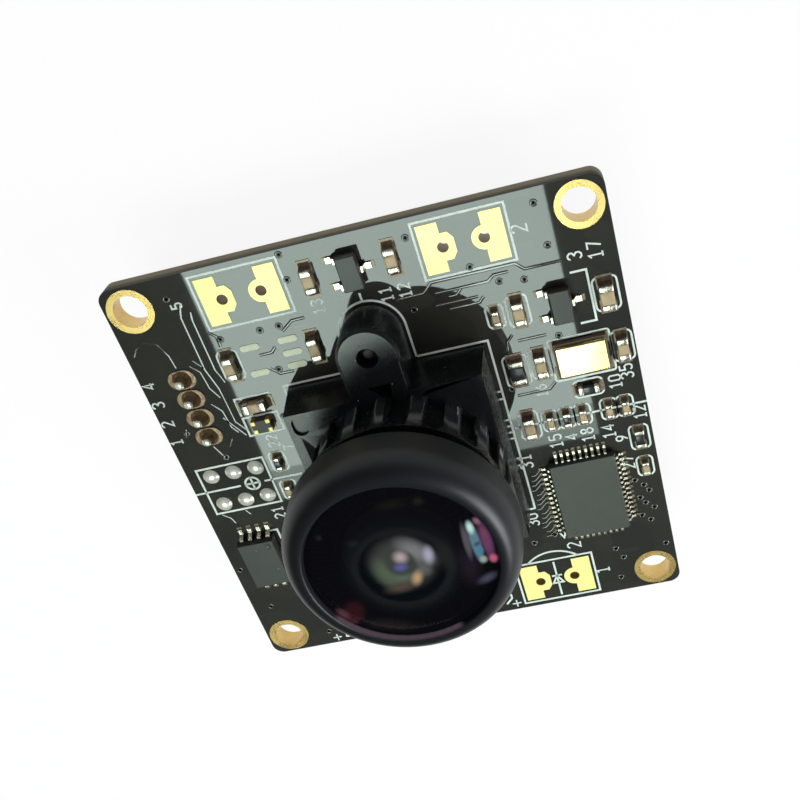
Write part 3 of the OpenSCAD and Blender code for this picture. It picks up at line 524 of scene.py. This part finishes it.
def paintLipReflection(material, look):
    # a painted reflection: the coating's colour glowing where it would catch the inside of the front ring
    tree = material.node_tree
    place = objectCoordinates(tree)
    dark = (0.0, 0.0, 0.0)
    tone = paintedReflectionSpots(tree, sunkPlace(tree, place, imageLook), arcSpots(look), dark)
    inside = spotMask(tree, place, (0, 0, look["reach"], look["reach"], 0, look["reachSoft"]))
    setShader(
        tree, tree.nodes["Principled BSDF"],
        Emission_Color=mixColours(tree, inside, dark, tone), Emission_Strength=1.0,
    )


# the front ring's black, with a painted reflection glowing on its lip
materials["ringBlack"] = grainedFinish("ringBlack", finishes["lensBlack"])
paintLipReflection(materials["ringBlack"], lipReflectionLook)
for glassName, glassLook in glassLooks.items():
    materials[glassName] = makeGlass(glassName, glassLook)
materials["board"] = makeBoardMaterial(boardLook)
materials["track"] = makeMaskMaterial(boardLook)

nodeFinish = {
    "circuit_board": "board", "hole_plating": "holeGold", "lamp_pads": "gold", "solder_pads": "filletSolder",
    "bare_pads": "padTin", "lens_holder": "holderBlack", "holder_screws": "screwNickel",
    "lens_barrel": "lensBlack", "front_ring": "ringBlack", "front_seal": "sealRubber",
    "front_lens": "frontGlass", "second_lens": "secondGlass", "lens_spacer": "innerBlack",
    "third_lens": "innerGlass", "aperture_stop": "innerBlack", "fourth_lens": "innerGlass",
    "rear_spacer": "innerBlack", "rear_lens": "innerGlass", "infrared_filter": "filterGlass",
    "sensor_package": "sensorBody", "sensor_die": "silicon", "sensor_glass": "innerGlass",
    "sensor_contacts": "gold", "video_chip": "chipResin", "video_chip_leads": "tin",
    "memory_chip": "memoryResin", "memory_chip_leads": "tin", "regulators": "memoryResin",
    "regulator_leads": "tin", "crystal_base": "crystalCase", "crystal_lid": "crystalGold",
    "large_capacitor": "capacitorTan", "large_capacitor_ends": "tin", "capacitors": "capacitorTan",
    "capacitor_ends": "tin", "small_capacitors": "capacitorTan", "small_capacitor_ends": "tin",
    "resistors": "resistorBlack", "resistor_ends": "tin", "small_resistor": "resistorBlack",
    "small_resistor_ends": "tin", "choke": "ferriteGrey", "choke_ends": "gold",
    "solder_fillets": "filletSolder", "solder_bumps": "solderBright", "header_housing": "headerPlastic",
    "header_pins": "solderBright", "pin_solder": "fluxedSolder",
}
for nodeName, node in nodes.items():
    node.data.materials.clear()
    node.data.materials.append(materials[nodeFinish[nodeName]])
print("materials made:", len(materials))


def finishPiece(name, bm, finish, smoothAngle=35):
    mesh = bpy.data.meshes.new(name)
    bm.to_mesh(mesh)
    bm.free()
    piece = bpy.data.objects.new(name, mesh)
    bpy.context.collection.objects.link(piece)
    mesh.materials.append(materials[finish])
    if smoothAngle:
        mesh.shade_smooth()
        mesh.set_sharp_from_angle(angle=math.radians(smoothAngle))
        even = piece.modifiers.new("evenShading", "WEIGHTED_NORMAL")
        even.keep_sharp = True
    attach(piece, "root")
    return piece


pieceOf = {}
mergeGap = {"node": 0.002, "spun": 0.0005}  # mm
flatAngle = 0.5  # degrees, below which two faces are made one


def mergedCopy(nodeName):
    # a node's shape with its loose triangles joined up
    bm = bmesh.new()
    bm.from_mesh(nodes[nodeName].data)
    bmesh.ops.remove_doubles(bm, verts=bm.verts, dist=mergeGap["node"] * mm)
    return bm


def softenNode(nodeName, width, wanted=None, segments=2, sharpAngle=38, smoothAngle=35):
    # the node's own shape with its sharp edges broken, or only those that are wanted
    bm = mergedCopy(nodeName)
    bmesh.ops.dissolve_limit(bm, angle_limit=math.radians(flatAngle), verts=bm.verts, edges=bm.edges)
    sharp = [
        e for e in bm.edges
        if len(e.link_faces) == 2 and e.calc_face_angle() > math.radians(sharpAngle)
        and (wanted is None or all(wanted(v.co / mm) for v in e.verts))
    ]
    bmesh.ops.bevel(
        bm, geom=sharp, offset=width * mm, offset_type="OFFSET", segments=segments,
        profile=0.5, affect="EDGES", clamp_overlap=True, material=-1,
    )
    piece = finishPiece("soft_" + nodeName, bm, nodeFinish[nodeName], smoothAngle)
    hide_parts(nodeName)
    pieceOf[nodeName] = piece


def solidBoxes(nodeName):
    # centre and size of each separate solid in a node, in mm
    bm = mergedCopy(nodeName)
    left = set(bm.verts)
    boxes = []
    while left:
        group = {left.pop()}
        edge = list(group)
        while edge:
            near = {e.other_vert(v) for v in edge for e in v.link_edges} - group
            group |= near
            edge = list(near)
        left -= group
        low = Vector(min(v.co[i] for v in group) for i in range(3)) / mm
        high = Vector(max(v.co[i] for v in group) for i in range(3)) / mm
        boxes.append(((low + high) / 2, high - low))
    bm.free()
    return sorted(boxes, key=lambda b: (round(b[0].x, 2), round(b[0].y, 2)))


stageLook = {"floor": (0.90, 0.90, 0.89), "rough": 0.9, "gap": 0.05, "size": 3000, "glow": 0.90}


def makeFloor(look):
    # paper that the camera, metal and glass see as nearly white, with the object's shadow on it
    bm = bmesh.new()
    half = look["size"] / 2 * mm
    bmesh.ops.create_grid(bm, x_segments=1, y_segments=1, size=half)
    drop = cadBox[0][2] - look["gap"] * mm
    bmesh.ops.translate(bm, vec=(0, 0, drop), verts=bm.verts)
    mesh = bpy.data.meshes.new("studioFloor")
    bm.to_mesh(mesh)
    bm.free()
    floor = bpy.data.objects.new("studioFloor", mesh)
    bpy.context.collection.objects.link(floor)
    material, tree, shader = newMaterial("floorPaper")
    setShader(tree, shader, Base_Color=look["floor"], Roughness=look["rough"])
    glow = addNode(tree, "ShaderNodeEmission", Strength=1.0)
    path = tree.nodes.new("ShaderNodeLightPath").outputs
    seen = doMath(tree, "MAXIMUM", path["Is Camera Ray"], path["Is Glossy Ray"])
    seen = doMath(tree, "MAXIMUM", seen, path["Is Transmission Ray"])
    share = doMath(tree, "MULTIPLY", seen, look["glow"])
    mix = mixShaders(tree, share, shader.outputs["BSDF"], glow.outputs["Emission"])
    feed(tree, tree.nodes["Material Output"].inputs["Surface"], mix)
    mesh.materials.append(material)


makeFloor(stageLook)

lamps = {
    # place and aim in mm, size in mm, radiance of the lamp's face
    "overheadBox": {"place": (-45, -78, 202), "aim": (-45, -78, 0), "size": (109, 92), "radiance": 8.2,
                    "colour": (0.82, 1.0, 0.91), "up": (0, 1, 0), "shun": ("front_lens", "front_ring")},
    "overheadFade": {"place": (-45, -130, 202), "aim": (-45, -130, 0), "size": (109, 12), "radiance": 4.2,
                     "colour": (0.82, 1.0, 0.91), "up": (0, 1, 0), "shun": ("front_lens", "front_ring")},
    "sideWindow": {"place": (140, -96, 130), "aim": (0, 0, 10), "size": (60, 130), "radiance": 9.0,
                   "colour": (0.95, 0.98, 1.0), "up": (0.13, 0.52, 0.23), "shun": ("front_lens",)},
    "frontFill": {"place": (-60, 300, 200), "aim": (0, 0, 0), "size": (260, 160), "radiance": 0.32,
                  "colour": (1.0, 1.0, 1.0), "up": (0, 0, 1), "matte": True},
    "topWash": {"place": (0, 40, 520), "aim": (0, 0, 0), "size": (600, 600), "radiance": 1.15,
                "colour": (1.0, 1.0, 0.98), "up": (0, 1, 0), "matte": True},
    "ringWash": {"place": (150, -40, 135), "aim": (0, 0, 14), "size": (120, 130), "radiance": 12.0,
                 "colour": (0.94, 0.97, 1.0), "up": (0, 1, 0), "only": ("front_ring",)},
}


def limitLamp(lamp, nodeNames, state):
    # keeps a lamp on some pieces alone, or off them
    group = bpy.data.collections.new(lamp.name + "Reach")
    for nodeName in nodeNames:
        group.objects.link(pieceOf[nodeName])
    lamp.light_linking.receiver_collection = group
    for entry in group.collection_objects:
        entry.light_linking.link_state = state


def makeLamp(name, look):
    light = bpy.data.lights.new(name, "AREA")
    light.shape = "RECTANGLE"
    light.size, light.size_y = (s * mm for s in look["size"])
    light.energy = look["radiance"] * math.pi * light.size * light.size_y
    light.color = look["colour"]
    lamp = bpy.data.objects.new(name, light)
    away = (Vector(look["place"]) - Vector(look["aim"])).normalized()
    side = Vector(look["up"]).cross(away).normalized()
    turn = Matrix((side, away.cross(side), away)).transposed().to_4x4()
    lamp.matrix_world = Matrix.Translation(Vector(look["place"]) * mm) @ turn
    lamp.visible_camera = False
    lamp.visible_glossy = not look.get("matte", False)
    bpy.context.collection.objects.link(lamp)
    if look.get("only"):
        limitLamp(lamp, look["only"], "INCLUDE")
    if look.get("shun"):
        limitLamp(lamp, look["shun"], "EXCLUDE")


worldLook = {"low": (0.13, 0.13, 0.125), "high": (0.10, 0.105, 0.11), "from": -0.8, "to": 0.9}


def makeWorld(look):
    world = bpy.data.worlds.new("studioWorld")
    bpy.context.scene.world = world
    world.use_nodes = True
    tree = world.node_tree
    place = tree.nodes.new("ShaderNodeTexCoord").outputs["Generated"]
    parts = addNode(tree, "ShaderNodeSeparateXYZ", Vector=place)
    rise = addNode(
        tree, "ShaderNodeMapRange", Value=parts.outputs["Y"], From_Min=look["from"], From_Max=look["to"]
    )
    tone = mixColours(tree, rise.outputs["Result"], look["low"], look["high"])
    feed(tree, tree.nodes["Background"].inputs["Color"], tone)


makeWorld(worldLook)
print("stage set")

frontGlassLook = {
    "domeRadius": 12.0, "middle": 1.2, "boreGap": 0.36, "rings": 24, "turns": 128,
    "inkFrom": 3.3, "inkSlope": 0.3,  # blackened outside this radius where the face looks up less
}


def arcPoints(radius, centreZ, fromR, toR, steps):
    # points on a ball's upper side between two distances from the axis
    for i in range(steps + 1):
        r = fromR + (toR - fromR) * i / steps
        yield Vector((r, 0, centreZ + math.sqrt(max(radius * radius - r * r, 0))))


def spinProfile(points, turns):
    bm = bmesh.new()
    verts = [bm.verts.new(p * mm) for p in points]
    for a, b in zip(verts, verts[1:]):
        bm.edges.new((a, b))
    bmesh.ops.spin(
        bm, geom=bm.verts[:] + bm.edges[:], cent=(0, 0, 0), axis=(0, 0, 1), dvec=(0, 0, 0),
        angle=math.tau, steps=turns, use_merge=True, use_duplicate=False,
    )
    bmesh.ops.remove_doubles(bm, verts=bm.verts, dist=mergeGap["spun"] * mm)
    bmesh.ops.recalc_face_normals(bm, faces=bm.faces)
    return bm


def makeFrontGlass(look):
    low, high = boxMm("front_lens")
    edgeR = high.x
    centreZ = high.z - look["domeRadius"]
    boreR = boxMm("second_lens")[1].x - look["boreGap"]
    hollowTop = high.z - look["middle"]
    rise = hollowTop - low.z
    ballR = (boreR * boreR + rise * rise) / (2 * rise)
    dome = list(arcPoints(look["domeRadius"], centreZ, 0, edgeR, look["rings"]))
    hollow = list(arcPoints(ballR, hollowTop - ballR, boreR, 0, look["rings"]))
    bm = spinProfile(dome + [Vector((edgeR, 0, low.z))] + hollow, look["turns"])
    for face in bm.faces:
        middle = face.calc_center_median() / mm
        if middle.to_2d().length > look["inkFrom"] and face.normal.z < look["inkSlope"]:
            face.material_index = 1
    piece = finishPiece("frontGlassSmooth", bm, "frontGlass", smoothAngle=30)
    piece.data.materials.append(materials["innerBlack"])
    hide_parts("front_lens")
    pieceOf["front_lens"] = piece


secondGlassLook = {"rise": 1.75, "rim": 0.5, "rings": 16, "turns": 96}


def makeSecondGlass(look):
    low, high = boxMm("second_lens")
    edgeR = high.x
    domeR = edgeR - look["rim"]
    rise = look["rise"]
    ballR = (domeR * domeR + rise * rise) / (2 * rise)
    dome = list(arcPoints(ballR, high.z - ballR, 0, domeR, look["rings"]))
    points = dome + [Vector((edgeR, 0, high.z - rise)), Vector((edgeR, 0, low.z)), Vector((0, 0, low.z))]
    bm = spinProfile(points, look["turns"])
    piece = finishPiece("secondGlassSmooth", bm, "secondGlass", smoothAngle=30)
    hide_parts("second_lens")


makeFrontGlass(frontGlassLook)
makeSecondGlass(secondGlassLook)
print("lens turned")

rimLook = {
    "width": 0.24, "segments": 3, "aboveBoard": 0.5,
    "neck": 7.75,  # radius that clears the neck and its flutes
    "side": 0.5, "ear": 7.6,  # how far in from the sides, and from where the ears stand out
    "screwAt": 11, "screwHole": 1.5,
}


def onHolderRim(point):
    # the outer outline of the holder's block and ears, above the board
    look = rimLook
    nearScrew = math.hypot(point.x, abs(point.y) - look["screwAt"]) < look["screwHole"]
    outside = abs(point.x) > holderHigh.x - look["side"] or abs(point.y) > look["ear"]
    offNeck = point.to_2d().length > look["neck"]
    return point.z > boardTop + look["aboveBoard"] and offNeck and outside and not nearScrew


softenNode("lens_holder", rimLook["width"], onHolderRim, rimLook["segments"])
# mm that each node's sharp edges are broken by
softEdges = {
    "front_ring": 0.06, "video_chip": 0.05, "memory_chip": 0.06, "regulators": 0.07,
    "crystal_lid": 0.07, "crystal_base": 0.04, "large_capacitor": 0.06, "large_capacitor_ends": 0.09,
    "capacitors": 0.05, "capacitor_ends": 0.08, "small_capacitors": 0.03, "small_capacitor_ends": 0.06,
    "resistors": 0.04, "resistor_ends": 0.07, "small_resistor": 0.03, "small_resistor_ends": 0.05,
    "choke": 0.05, "choke_ends": 0.05, "header_housing": 0.1, "holder_screws": 0.06,
}
for nodeName, width in softEdges.items():
    softenNode(nodeName, width)
print("edges softened on", len(softEdges), "nodes")

for lampName, lampLook in lamps.items():
    makeLamp(lampName, lampLook)
print("lamps set:", len(lamps))


def ribbonRims(points, half, mitreLimit=0.5):
    # left and right offsets of a flat line of points, mitred at the bends
    line = [Vector(p) for p in points]
    closed = (line[0] - line[-1]).length < 1e-6
    if closed:
        line.pop()
    count = len(line)
    rims = []
    for i, here in enumerate(line):
        ways = []
        if closed or i:
            ways.append((here - line[i - 1]).normalized())
        if closed or i < count - 1:
            ways.append((line[(i + 1) % count] - here).normalized())
        mean = sum(ways, Vector((0, 0))).normalized()
        normal = Vector((-mean.y, mean.x))
        reach = half / max(mean.dot(ways[0]), mitreLimit)
        rims.append((here + normal * reach, here - normal * reach))
    return rims, closed


def addRibbon(bm, points, width, low, high, shrink=1.0):
    # a low strip with straight or sloping sides
    outer, closed = ribbonRims(points, width / 2)
    inner, closed = ribbonRims(points, width / 2 * shrink)
    rings = []
    for (a, b), (c, d) in zip(outer, inner):
        corners = ((a, low), (c, high), (d, high), (b, low))
        rings.append([bm.verts.new((p.x * mm, p.y * mm, z * mm)) for p, z in corners])
    pairs = list(zip(rings, rings[1:])) + ([(rings[-1], rings[0])] if closed else [])
    for one, two in pairs:
        for k in range(3):
            bm.faces.new((one[k], one[k + 1], two[k + 1], two[k]))
    if not closed:
        bm.faces.new(rings[0][::-1])
        bm.faces.new(rings[-1])


def arcLine(x, y, radius, start, end, steps=16):
    turns = [math.radians(start + (end - start) * i / steps) for i in range(steps + 1)]
    return [(x + radius * math.cos(t), y + radius * math.sin(t)) for t in turns]


def boxLine(x, y, wide, tall, radius=0.0):
    # a closed outline of a box with rounded corners round a centre
    if radius <= 0:
        a, b = wide / 2, tall / 2
        return [(x - a, y - b), (x + a, y - b), (x + a, y + b), (x - a, y + b), (x - a, y - b)]
    a, b = wide / 2 - radius, tall / 2 - radius
    loop = []
    for sx, sy, start in ((1, 1, 0), (-1, 1, 90), (-1, -1, 180), (1, -1, 270)):
        loop += arcLine(x + sx * a, y + sy * b, radius, start, start + 90, steps=5)
    return loop + loop[:1]


digitShapes = {
    # strokes on a grid two wide and four high
    "0": [[(0, 0.6), (0.6, 0), (1.4, 0), (2, 0.6), (2, 3.4), (1.4, 4), (0.6, 4), (0, 3.4), (0, 0.6)]],
    "1": [[(0.3, 3.3), (1.1, 4), (1.1, 0)], [(0.3, 0), (1.9, 0)]],
    "2": [[(0, 3.4), (0.6, 4), (1.4, 4), (2, 3.4), (2, 2.7), (0, 0), (2, 0)]],
    "3": [[(0, 3.4), (0.6, 4), (1.4, 4), (2, 3.4), (2, 2.7), (1.2, 2.1),
           (2, 1.5), (2, 0.6), (1.4, 0), (0.6, 0), (0, 0.6)]],
    "4": [[(1.5, 0), (1.5, 4), (0, 1.2), (2.1, 1.2)]],
    "5": [[(1.9, 4), (0.2, 4), (0.1, 2.3), (1.4, 2.4), (2, 1.8), (2, 0.6), (1.4, 0), (0.6, 0), (0, 0.5)]],
    "6": [[(1.6, 4), (0.3, 2.3), (0, 0.7), (0.6, 0), (1.4, 0), (2, 0.6), (2, 1.6), (1.4, 2.2), (0.3, 2.0)]],
    "7": [[(0, 4), (2, 4), (0.8, 0)]],
    "8": [[(1, 2.1), (0.2, 2.7), (0.2, 3.5), (0.7, 4), (1.3, 4), (1.8, 3.5), (1.8, 2.7), (1, 2.1),
           (2, 1.4), (2, 0.6), (1.4, 0), (0.6, 0), (0, 0.6), (0, 1.4), (1, 2.1)]],
    "9": [[(0.4, 0), (1.7, 1.7), (2, 3.3), (1.4, 4), (0.6, 4), (0, 3.4), (0, 2.4), (0.6, 1.8), (1.7, 2.0)]],
    "+": [[(0, 2), (2, 2)], [(1, 1), (1, 3)]],
}

digitGrid = {"high": 4, "step": 3.1, "inset": 0.55}


def numberLines(text, x, y, height, turn):
    # a number's strokes round a centre, its digits a step apart
    unit = height / digitGrid["high"]
    c, s = math.cos(math.radians(turn)), math.sin(math.radians(turn))
    lines = []
    for i, sign in enumerate(text):
        shift = (i - len(text) / 2) * digitGrid["step"] + digitGrid["inset"]
        for stroke in digitShapes[sign]:
            flat = [((px + shift) * unit, (py - digitGrid["high"] / 2) * unit) for px, py in stroke]
            lines.append([(x + c * u - s * v, y + s * u + c * v) for u, v in flat])
    return lines


printLook = {"line": 0.17, "fine": 0.15, "digit": 0.13, "low": 0.003, "high": 0.02}
holderPrintLook = {
    "gap": 0.35, "earIn": 1.7, "earRound": 2.6, "earBreak": 2.65, "screwTick": (2.7, 3.3),
    "sideTicks": (3.6, 2.9, 0.9, 0.3), "tickLong": 0.4,
}


def holderPrint(look):
    # the outline round the holder and its two ears, with short ticks
    edge = holderHigh.x + look["gap"]
    earAt = boxMm("holder_screws")[1].y - look["earIn"]
    earR, gapR = look["earRound"], look["earBreak"]
    lines = []
    for way in (1, -1):
        lines.append([(-edge, 0), (-edge, edge * way), (-gapR, edge * way)])
        lines.append([(gapR, edge * way), (edge, edge * way), (edge, 0)])
        ear = [(earR, edge)] + arcLine(0, earAt, earR, 0, 180, steps=24) + [(-earR, edge)]
        lines.append([(px, py * way) for px, py in ear])
        lines.append([(0, (earAt + reach) * way) for reach in look["screwTick"]])
        for px in (-edge, edge):
            for py in look["sideTicks"]:
                lines.append([(px, py * way), (px - math.copysign(look["tickLong"], px), py * way)])
    return lines


lampPrintLook = {"gap": 0.3, "bulge": 0.9, "signWide": 0.9, "signLow": 0.5, "signHigh": 0.35, "lineGap": 0.3}


def lampPrint(look):
    # a box round each lamp's pads, and a bulge and a diode's sign at the lower ones
    lines = []
    pads = solidBoxes("lamp_pads")
    spots = {(math.copysign(1, c.x), math.copysign(1, c.y)) for c, size in pads}
    for sx, sy in sorted(spots):
        (one, size), (two, _) = [(c, s) for c, s in pads if c.x * sx > 0 and c.y * sy > 0]
        x, y = ((one + two) / 2).to_2d()
        wide = abs(one.x - two.x) + size.x + 2 * look["gap"]
        tall = size.y + 2 * look["gap"]
        lines.append(boxLine(x, y, wide, tall))
        if sy < 0:
            reach = tall / 2 + look["bulge"]
            cut = math.degrees(math.asin(tall / 2 / reach))
            left, right = x - look["signWide"] / 2, x + look["signWide"] / 2
            low, high = y - look["signLow"], y + look["signHigh"]
            lines.append(arcLine(x, y, reach, cut, 180 - cut))
            lines.append([(left, low), (right, low), (x, high), (left, low)])
            lines.append([(left, high), (right, high)])
            lines.append([(x, y - tall / 2 + look["lineGap"]), (x, y + tall / 2 - look["lineGap"])])
    return lines


partPrintLook = {
    "gap": 0.36, "round": 0.4, "endReach": 1.0,
    "top": 13, "middle": 3, "left": -11.3, "right": 8.5,  # the bounds of where parts have outlines
}


def partPrint(look):
    # rounded outlines round the small parts and their ends, beside and below the lens
    lines = []
    for node in ("capacitors", "small_capacitors", "resistors", "small_resistor", "large_capacitor"):
        ends = solidBoxes(node.rstrip("s") + "_ends")
        for middle, size in solidBoxes(node):
            own = [(c, s) for c, s in ends if (c - middle).to_2d().length < look["endReach"]]
            left, low = (min(c[i] - s[i] / 2 for c, s in own) - look["gap"] for i in range(2))
            right, high = (max(c[i] + s[i] / 2 for c, s in own) + look["gap"] for i in range(2))
            aside = middle.x < look["left"] or middle.x > look["right"]
            if middle.y < look["top"] and (aside or middle.y < look["middle"]):
                x, y = (left + right) / 2, (low + high) / 2
                lines.append(boxLine(x, y, right - left, high - low, look["round"]))
    return lines


freePrint = [
    # upper left
    [(-12.4, 6.15), (-9.5, 6.15), (-9.5, 4.45), (-12.4, 4.45), (-12.4, 6.15)],
    [(-12.4, 6.35), (-12.4, 7.95), (-9.5, 7.95)],
    # connector bumps with their centre mark
    boxLine(-15.15, 0, 5.8, 4.6), boxLine(-13.95, 0, 1.2, 1.2, 0.59),
    [(-14.6, 0), (-13.3, 0)], [(-13.95, -0.65), (-13.95, 0.65)],
    [(-19, 0), (-15.0, 0)], [(-12.9, 0), (-9.6, 0)], [(8.4, 0), (19, 0)],
    # memory chip corner and video chip marks
    [(-14.35, -5.05), (-13.7, -5.05), (-13.7, -6.1)],
    [(9.7, -11.35), (9.95, -11.9), (10.2, -11.35)],
    # right
    [(15.3, 12.1), (16.5, 12.1), (16.5, 7.9), (15.3, 7.9)], boxLine(14.85, 5.2, 4.7, 3.6, 0.2),
    [(3.4, -18.2), (4.0, -17.6), (4.0, -17.1)],
]
printNumbers = [
    ("4", -18.4, 10.7, 0.95, 90), ("3", -18.4, 8.9, 0.95, 90), ("2", -18.4, 7.1, 0.95, 90),
    ("1", -18.4, 5.3, 0.95, 90), ("21", -12.9, -3.4, 0.9, 90), ("6", -11.4, -4.0, 0.9, 90),
    ("7", -9.7, 2.7, 0.9, 90), ("8", -9.75, -1.0, 0.9, 90), ("5", -13.5, 16.6, 0.8, 90),
    ("30", 7.7, -9.4, 1.0, 90), ("31", 8.5, -3.4, 1.0, 90), ("2", 10.6, -12.9, 1.1, 90),
    ("1", 12.5, -16.3, 1.1, 90), ("15", 11.3, -2.0, 0.95, 90), ("4", 12.6, -1.9, 0.95, 90),
    ("18", 13.9, -2.0, 0.95, 90), ("14", 15.6, -2.1, 0.95, 90), ("9", 16.5, -3.0, 0.9, 90),
    ("12", 18.3, -0.9, 0.9, 90), ("27", 16.6, -5.5, 0.9, 90), ("35", 17.9, 3.0, 0.95, 90),
    ("10", 16.9, 2.3, 0.9, 90), ("3", 15.9, 13.3, 1.0, 90), ("17", 17.4, 13.4, 1.0, 90),
    ("11", 1.9, 13.7, 0.85, 90), ("12", 3.3, 13.7, 0.85, 90), ("13", -3.3, 14.0, 0.85, 90),
    ("22", -10.8, 3.6, 0.85, 90), ("16", 11.2, 2.9, 0.8, 90), ("2", 12.5, 16.3, 1.1, 90),
    ("+", 4.3, -18.3, 1.6, 0), ("+", -12.75, -18.4, 1.6, 0),
]


def makePrint(look):
    lift = (boardTop + look["low"], boardTop + look["high"])
    bm = bmesh.new()
    for line in holderPrint(holderPrintLook) + lampPrint(lampPrintLook) + freePrint:
        addRibbon(bm, line, look["line"], *lift)
    for line in partPrint(partPrintLook):
        addRibbon(bm, line, look["fine"], *lift)
    for number in printNumbers:
        for line in numberLines(*number):
            addRibbon(bm, line, look["digit"], *lift)
    finishPiece("boardPrint", bm, "printWhite", smoothAngle=0)


trackLook = {"width": 0.26, "fine": 0.16, "low": 0.001, "high": 0.03, "slope": 0.65}
tracks = [
    # upper left, from the lamp pad down to the choke
    [(-13.2, 16.7), (-13.6, 15.6), (-13.6, 11.0), (-13.2, 9.2), (-13.1, 6.0), (-12.5, 5.1)],
    [(-12.7, 15.9), (-12.85, 15.2), (-12.85, 10.8), (-12.5, 9.6)],
    [(-18.4, 13.4), (-18.0, 14.0), (-17.1, 14.4), (-16.2, 13.9), (-15.8, 12.8), (-15.7, 11.7)],
    [(-14.6, 11.6), (-14.0, 10.9), (-13.9, 9.4), (-13.4, 8.4)], [(-14.2, 12.0), (-13.6, 11.2)],
    [(-14.3, 8.0), (-13.7, 7.2), (-13.6, 5.6), (-13.2, 5.0)], [(-13.9, 6.6), (-12.7, 4.6)],
    [(-15.7, 4.2), (-15.2, 3.0)], [(-14.4, 3.9), (-13.9, 4.6)], [(-17.5, 5.6), (-17.2, 6.3)],
    [(-17.7, -2.5), (-17.1, -3.0), (-16.9, -3.6)], [(-15.6, -2.5), (-15.3, -3.0)],
    # above the lens
    [(2.4, 13.1), (4.6, 13.1), (5.3, 13.8), (11.6, 13.8), (12.2, 13.2), (14.9, 13.2)],
    [(5.4, 12.9), (9.4, 12.9), (9.9, 13.3), (11.0, 13.3)], [(5.2, 11.9), (8.4, 11.9)],
    [(6.1, 11.4), (8.4, 11.4), (8.8, 11.8)], [(6.3, 12.4), (6.9, 12.4), (7.3, 12.8)],
    [(-6.6, 12.7), (-5.6, 13.4), (-4.6, 13.4)], [(-9.0, 11.2), (-8.0, 11.2), (-7.6, 11.6)],
    [(-8.6, 9.9), (-8.0, 9.3), (-6.9, 9.3)], [(-12.1, 14.0), (-11.6, 13.5), (-11.6, 12.6)],
    # right of the lens
    [(10.1, 8.2), (9.6, 7.7), (9.4, 7.0)], [(12.6, 7.6), (10.4, 7.6)],
    [(12.4, 3.4), (11.9, 2.9), (9.3, 2.9)],
]
viaLook = {"ring": 0.225, "ringWidth": 0.15, "slope": 0.5, "hole": 0.13, "holeLift": 0.004}
viaPlaces = [
    (-18.5, -8.6), (-17.4, -13.3), (-13.3, -17.5), (14.0, -14.2), (14.5, -15.3), (13.9, -17.5),
    (18.3, -14.6), (7.3, -11.9), (9.2, -11.4), (-4.7, 18.6), (4.5, 17.6), (-4.8, 16.6), (8.4, 14.3),
    (-8.2, 13.2), (-6.7, 13.2), (-11.4, 13.2), (-8.0, 9.7), (-14.0, 17.3), (-15.1, 3.0), (13.9, 17.9),
    (14.2, 14.6), (12.0, 12.4), (10.2, 12.7), (-9.1, 5.6), (3.5, 12.0), (-17.3, 5.9), (9.0, 3.6),
    (13.5, 7.3),
]
# the uneven row right of the video chip
viaPlaces += [(16.8 + 0.5 * (i % 3) + 0.15 * (i % 2), -7.4 - 0.62 * i) for i in range(8)]

fanLook = {"first": 0.35, "step": 0.1, "cycle": 4, "bend": 0.55, "tail": 0.35}


def fanOut(look):
    # short tracks away from the video chip's left leads
    lines = []
    leads = solidBoxes("video_chip_leads")
    chipLeft = boxMm("video_chip")[0].x
    left = sorted((c.y for c, size in leads if size.x > size.y and c.x < chipLeft), reverse=True)
    start = min(c.x for c, size in leads)
    for i, y in enumerate(left):
        reach = start - look["first"] - look["step"] * (i % look["cycle"])
        bendX, bendY = reach - look["bend"], y - look["bend"]
        lines.append([(start, y), (reach, y), (bendX, bendY), (bendX - look["tail"], bendY)])
    return lines


def makeTracks(look):
    lift = (boardTop + look["low"], boardTop + look["high"])
    bm = bmesh.new()
    for line in tracks:
        addRibbon(bm, line, look["width"], *lift, look["slope"])
    for line in fanOut(fanLook):
        addRibbon(bm, line, look["fine"], *lift, look["slope"])
    for x, y in viaPlaces:
        ring = arcLine(x, y, viaLook["ring"], 0, 360, steps=14)
        addRibbon(bm, ring[:-1] + ring[:1], viaLook["ringWidth"], *lift, viaLook["slope"])
    finishPiece("boardTracks", bm, "track", smoothAngle=50)


# black discs lying on the board at each via: painted shade for the dark inside of the holes
def makeViaHoleShade(look):
    bm = bmesh.new()
    for x, y in viaPlaces:
        disc = bmesh.ops.create_circle(bm, cap_ends=True, radius=look["hole"] * mm, segments=10)
        centre = Vector((x, y, boardTop + look["holeLift"])) * mm
        bmesh.ops.translate(bm, vec=centre, verts=disc["verts"])
    finishPiece("viaHoleShade", bm, "innerBlack", smoothAngle=0)


makePrint(printLook)
makeTracks(trackLook)
makeViaHoleShade(viaLook)
print("print and tracks laid")
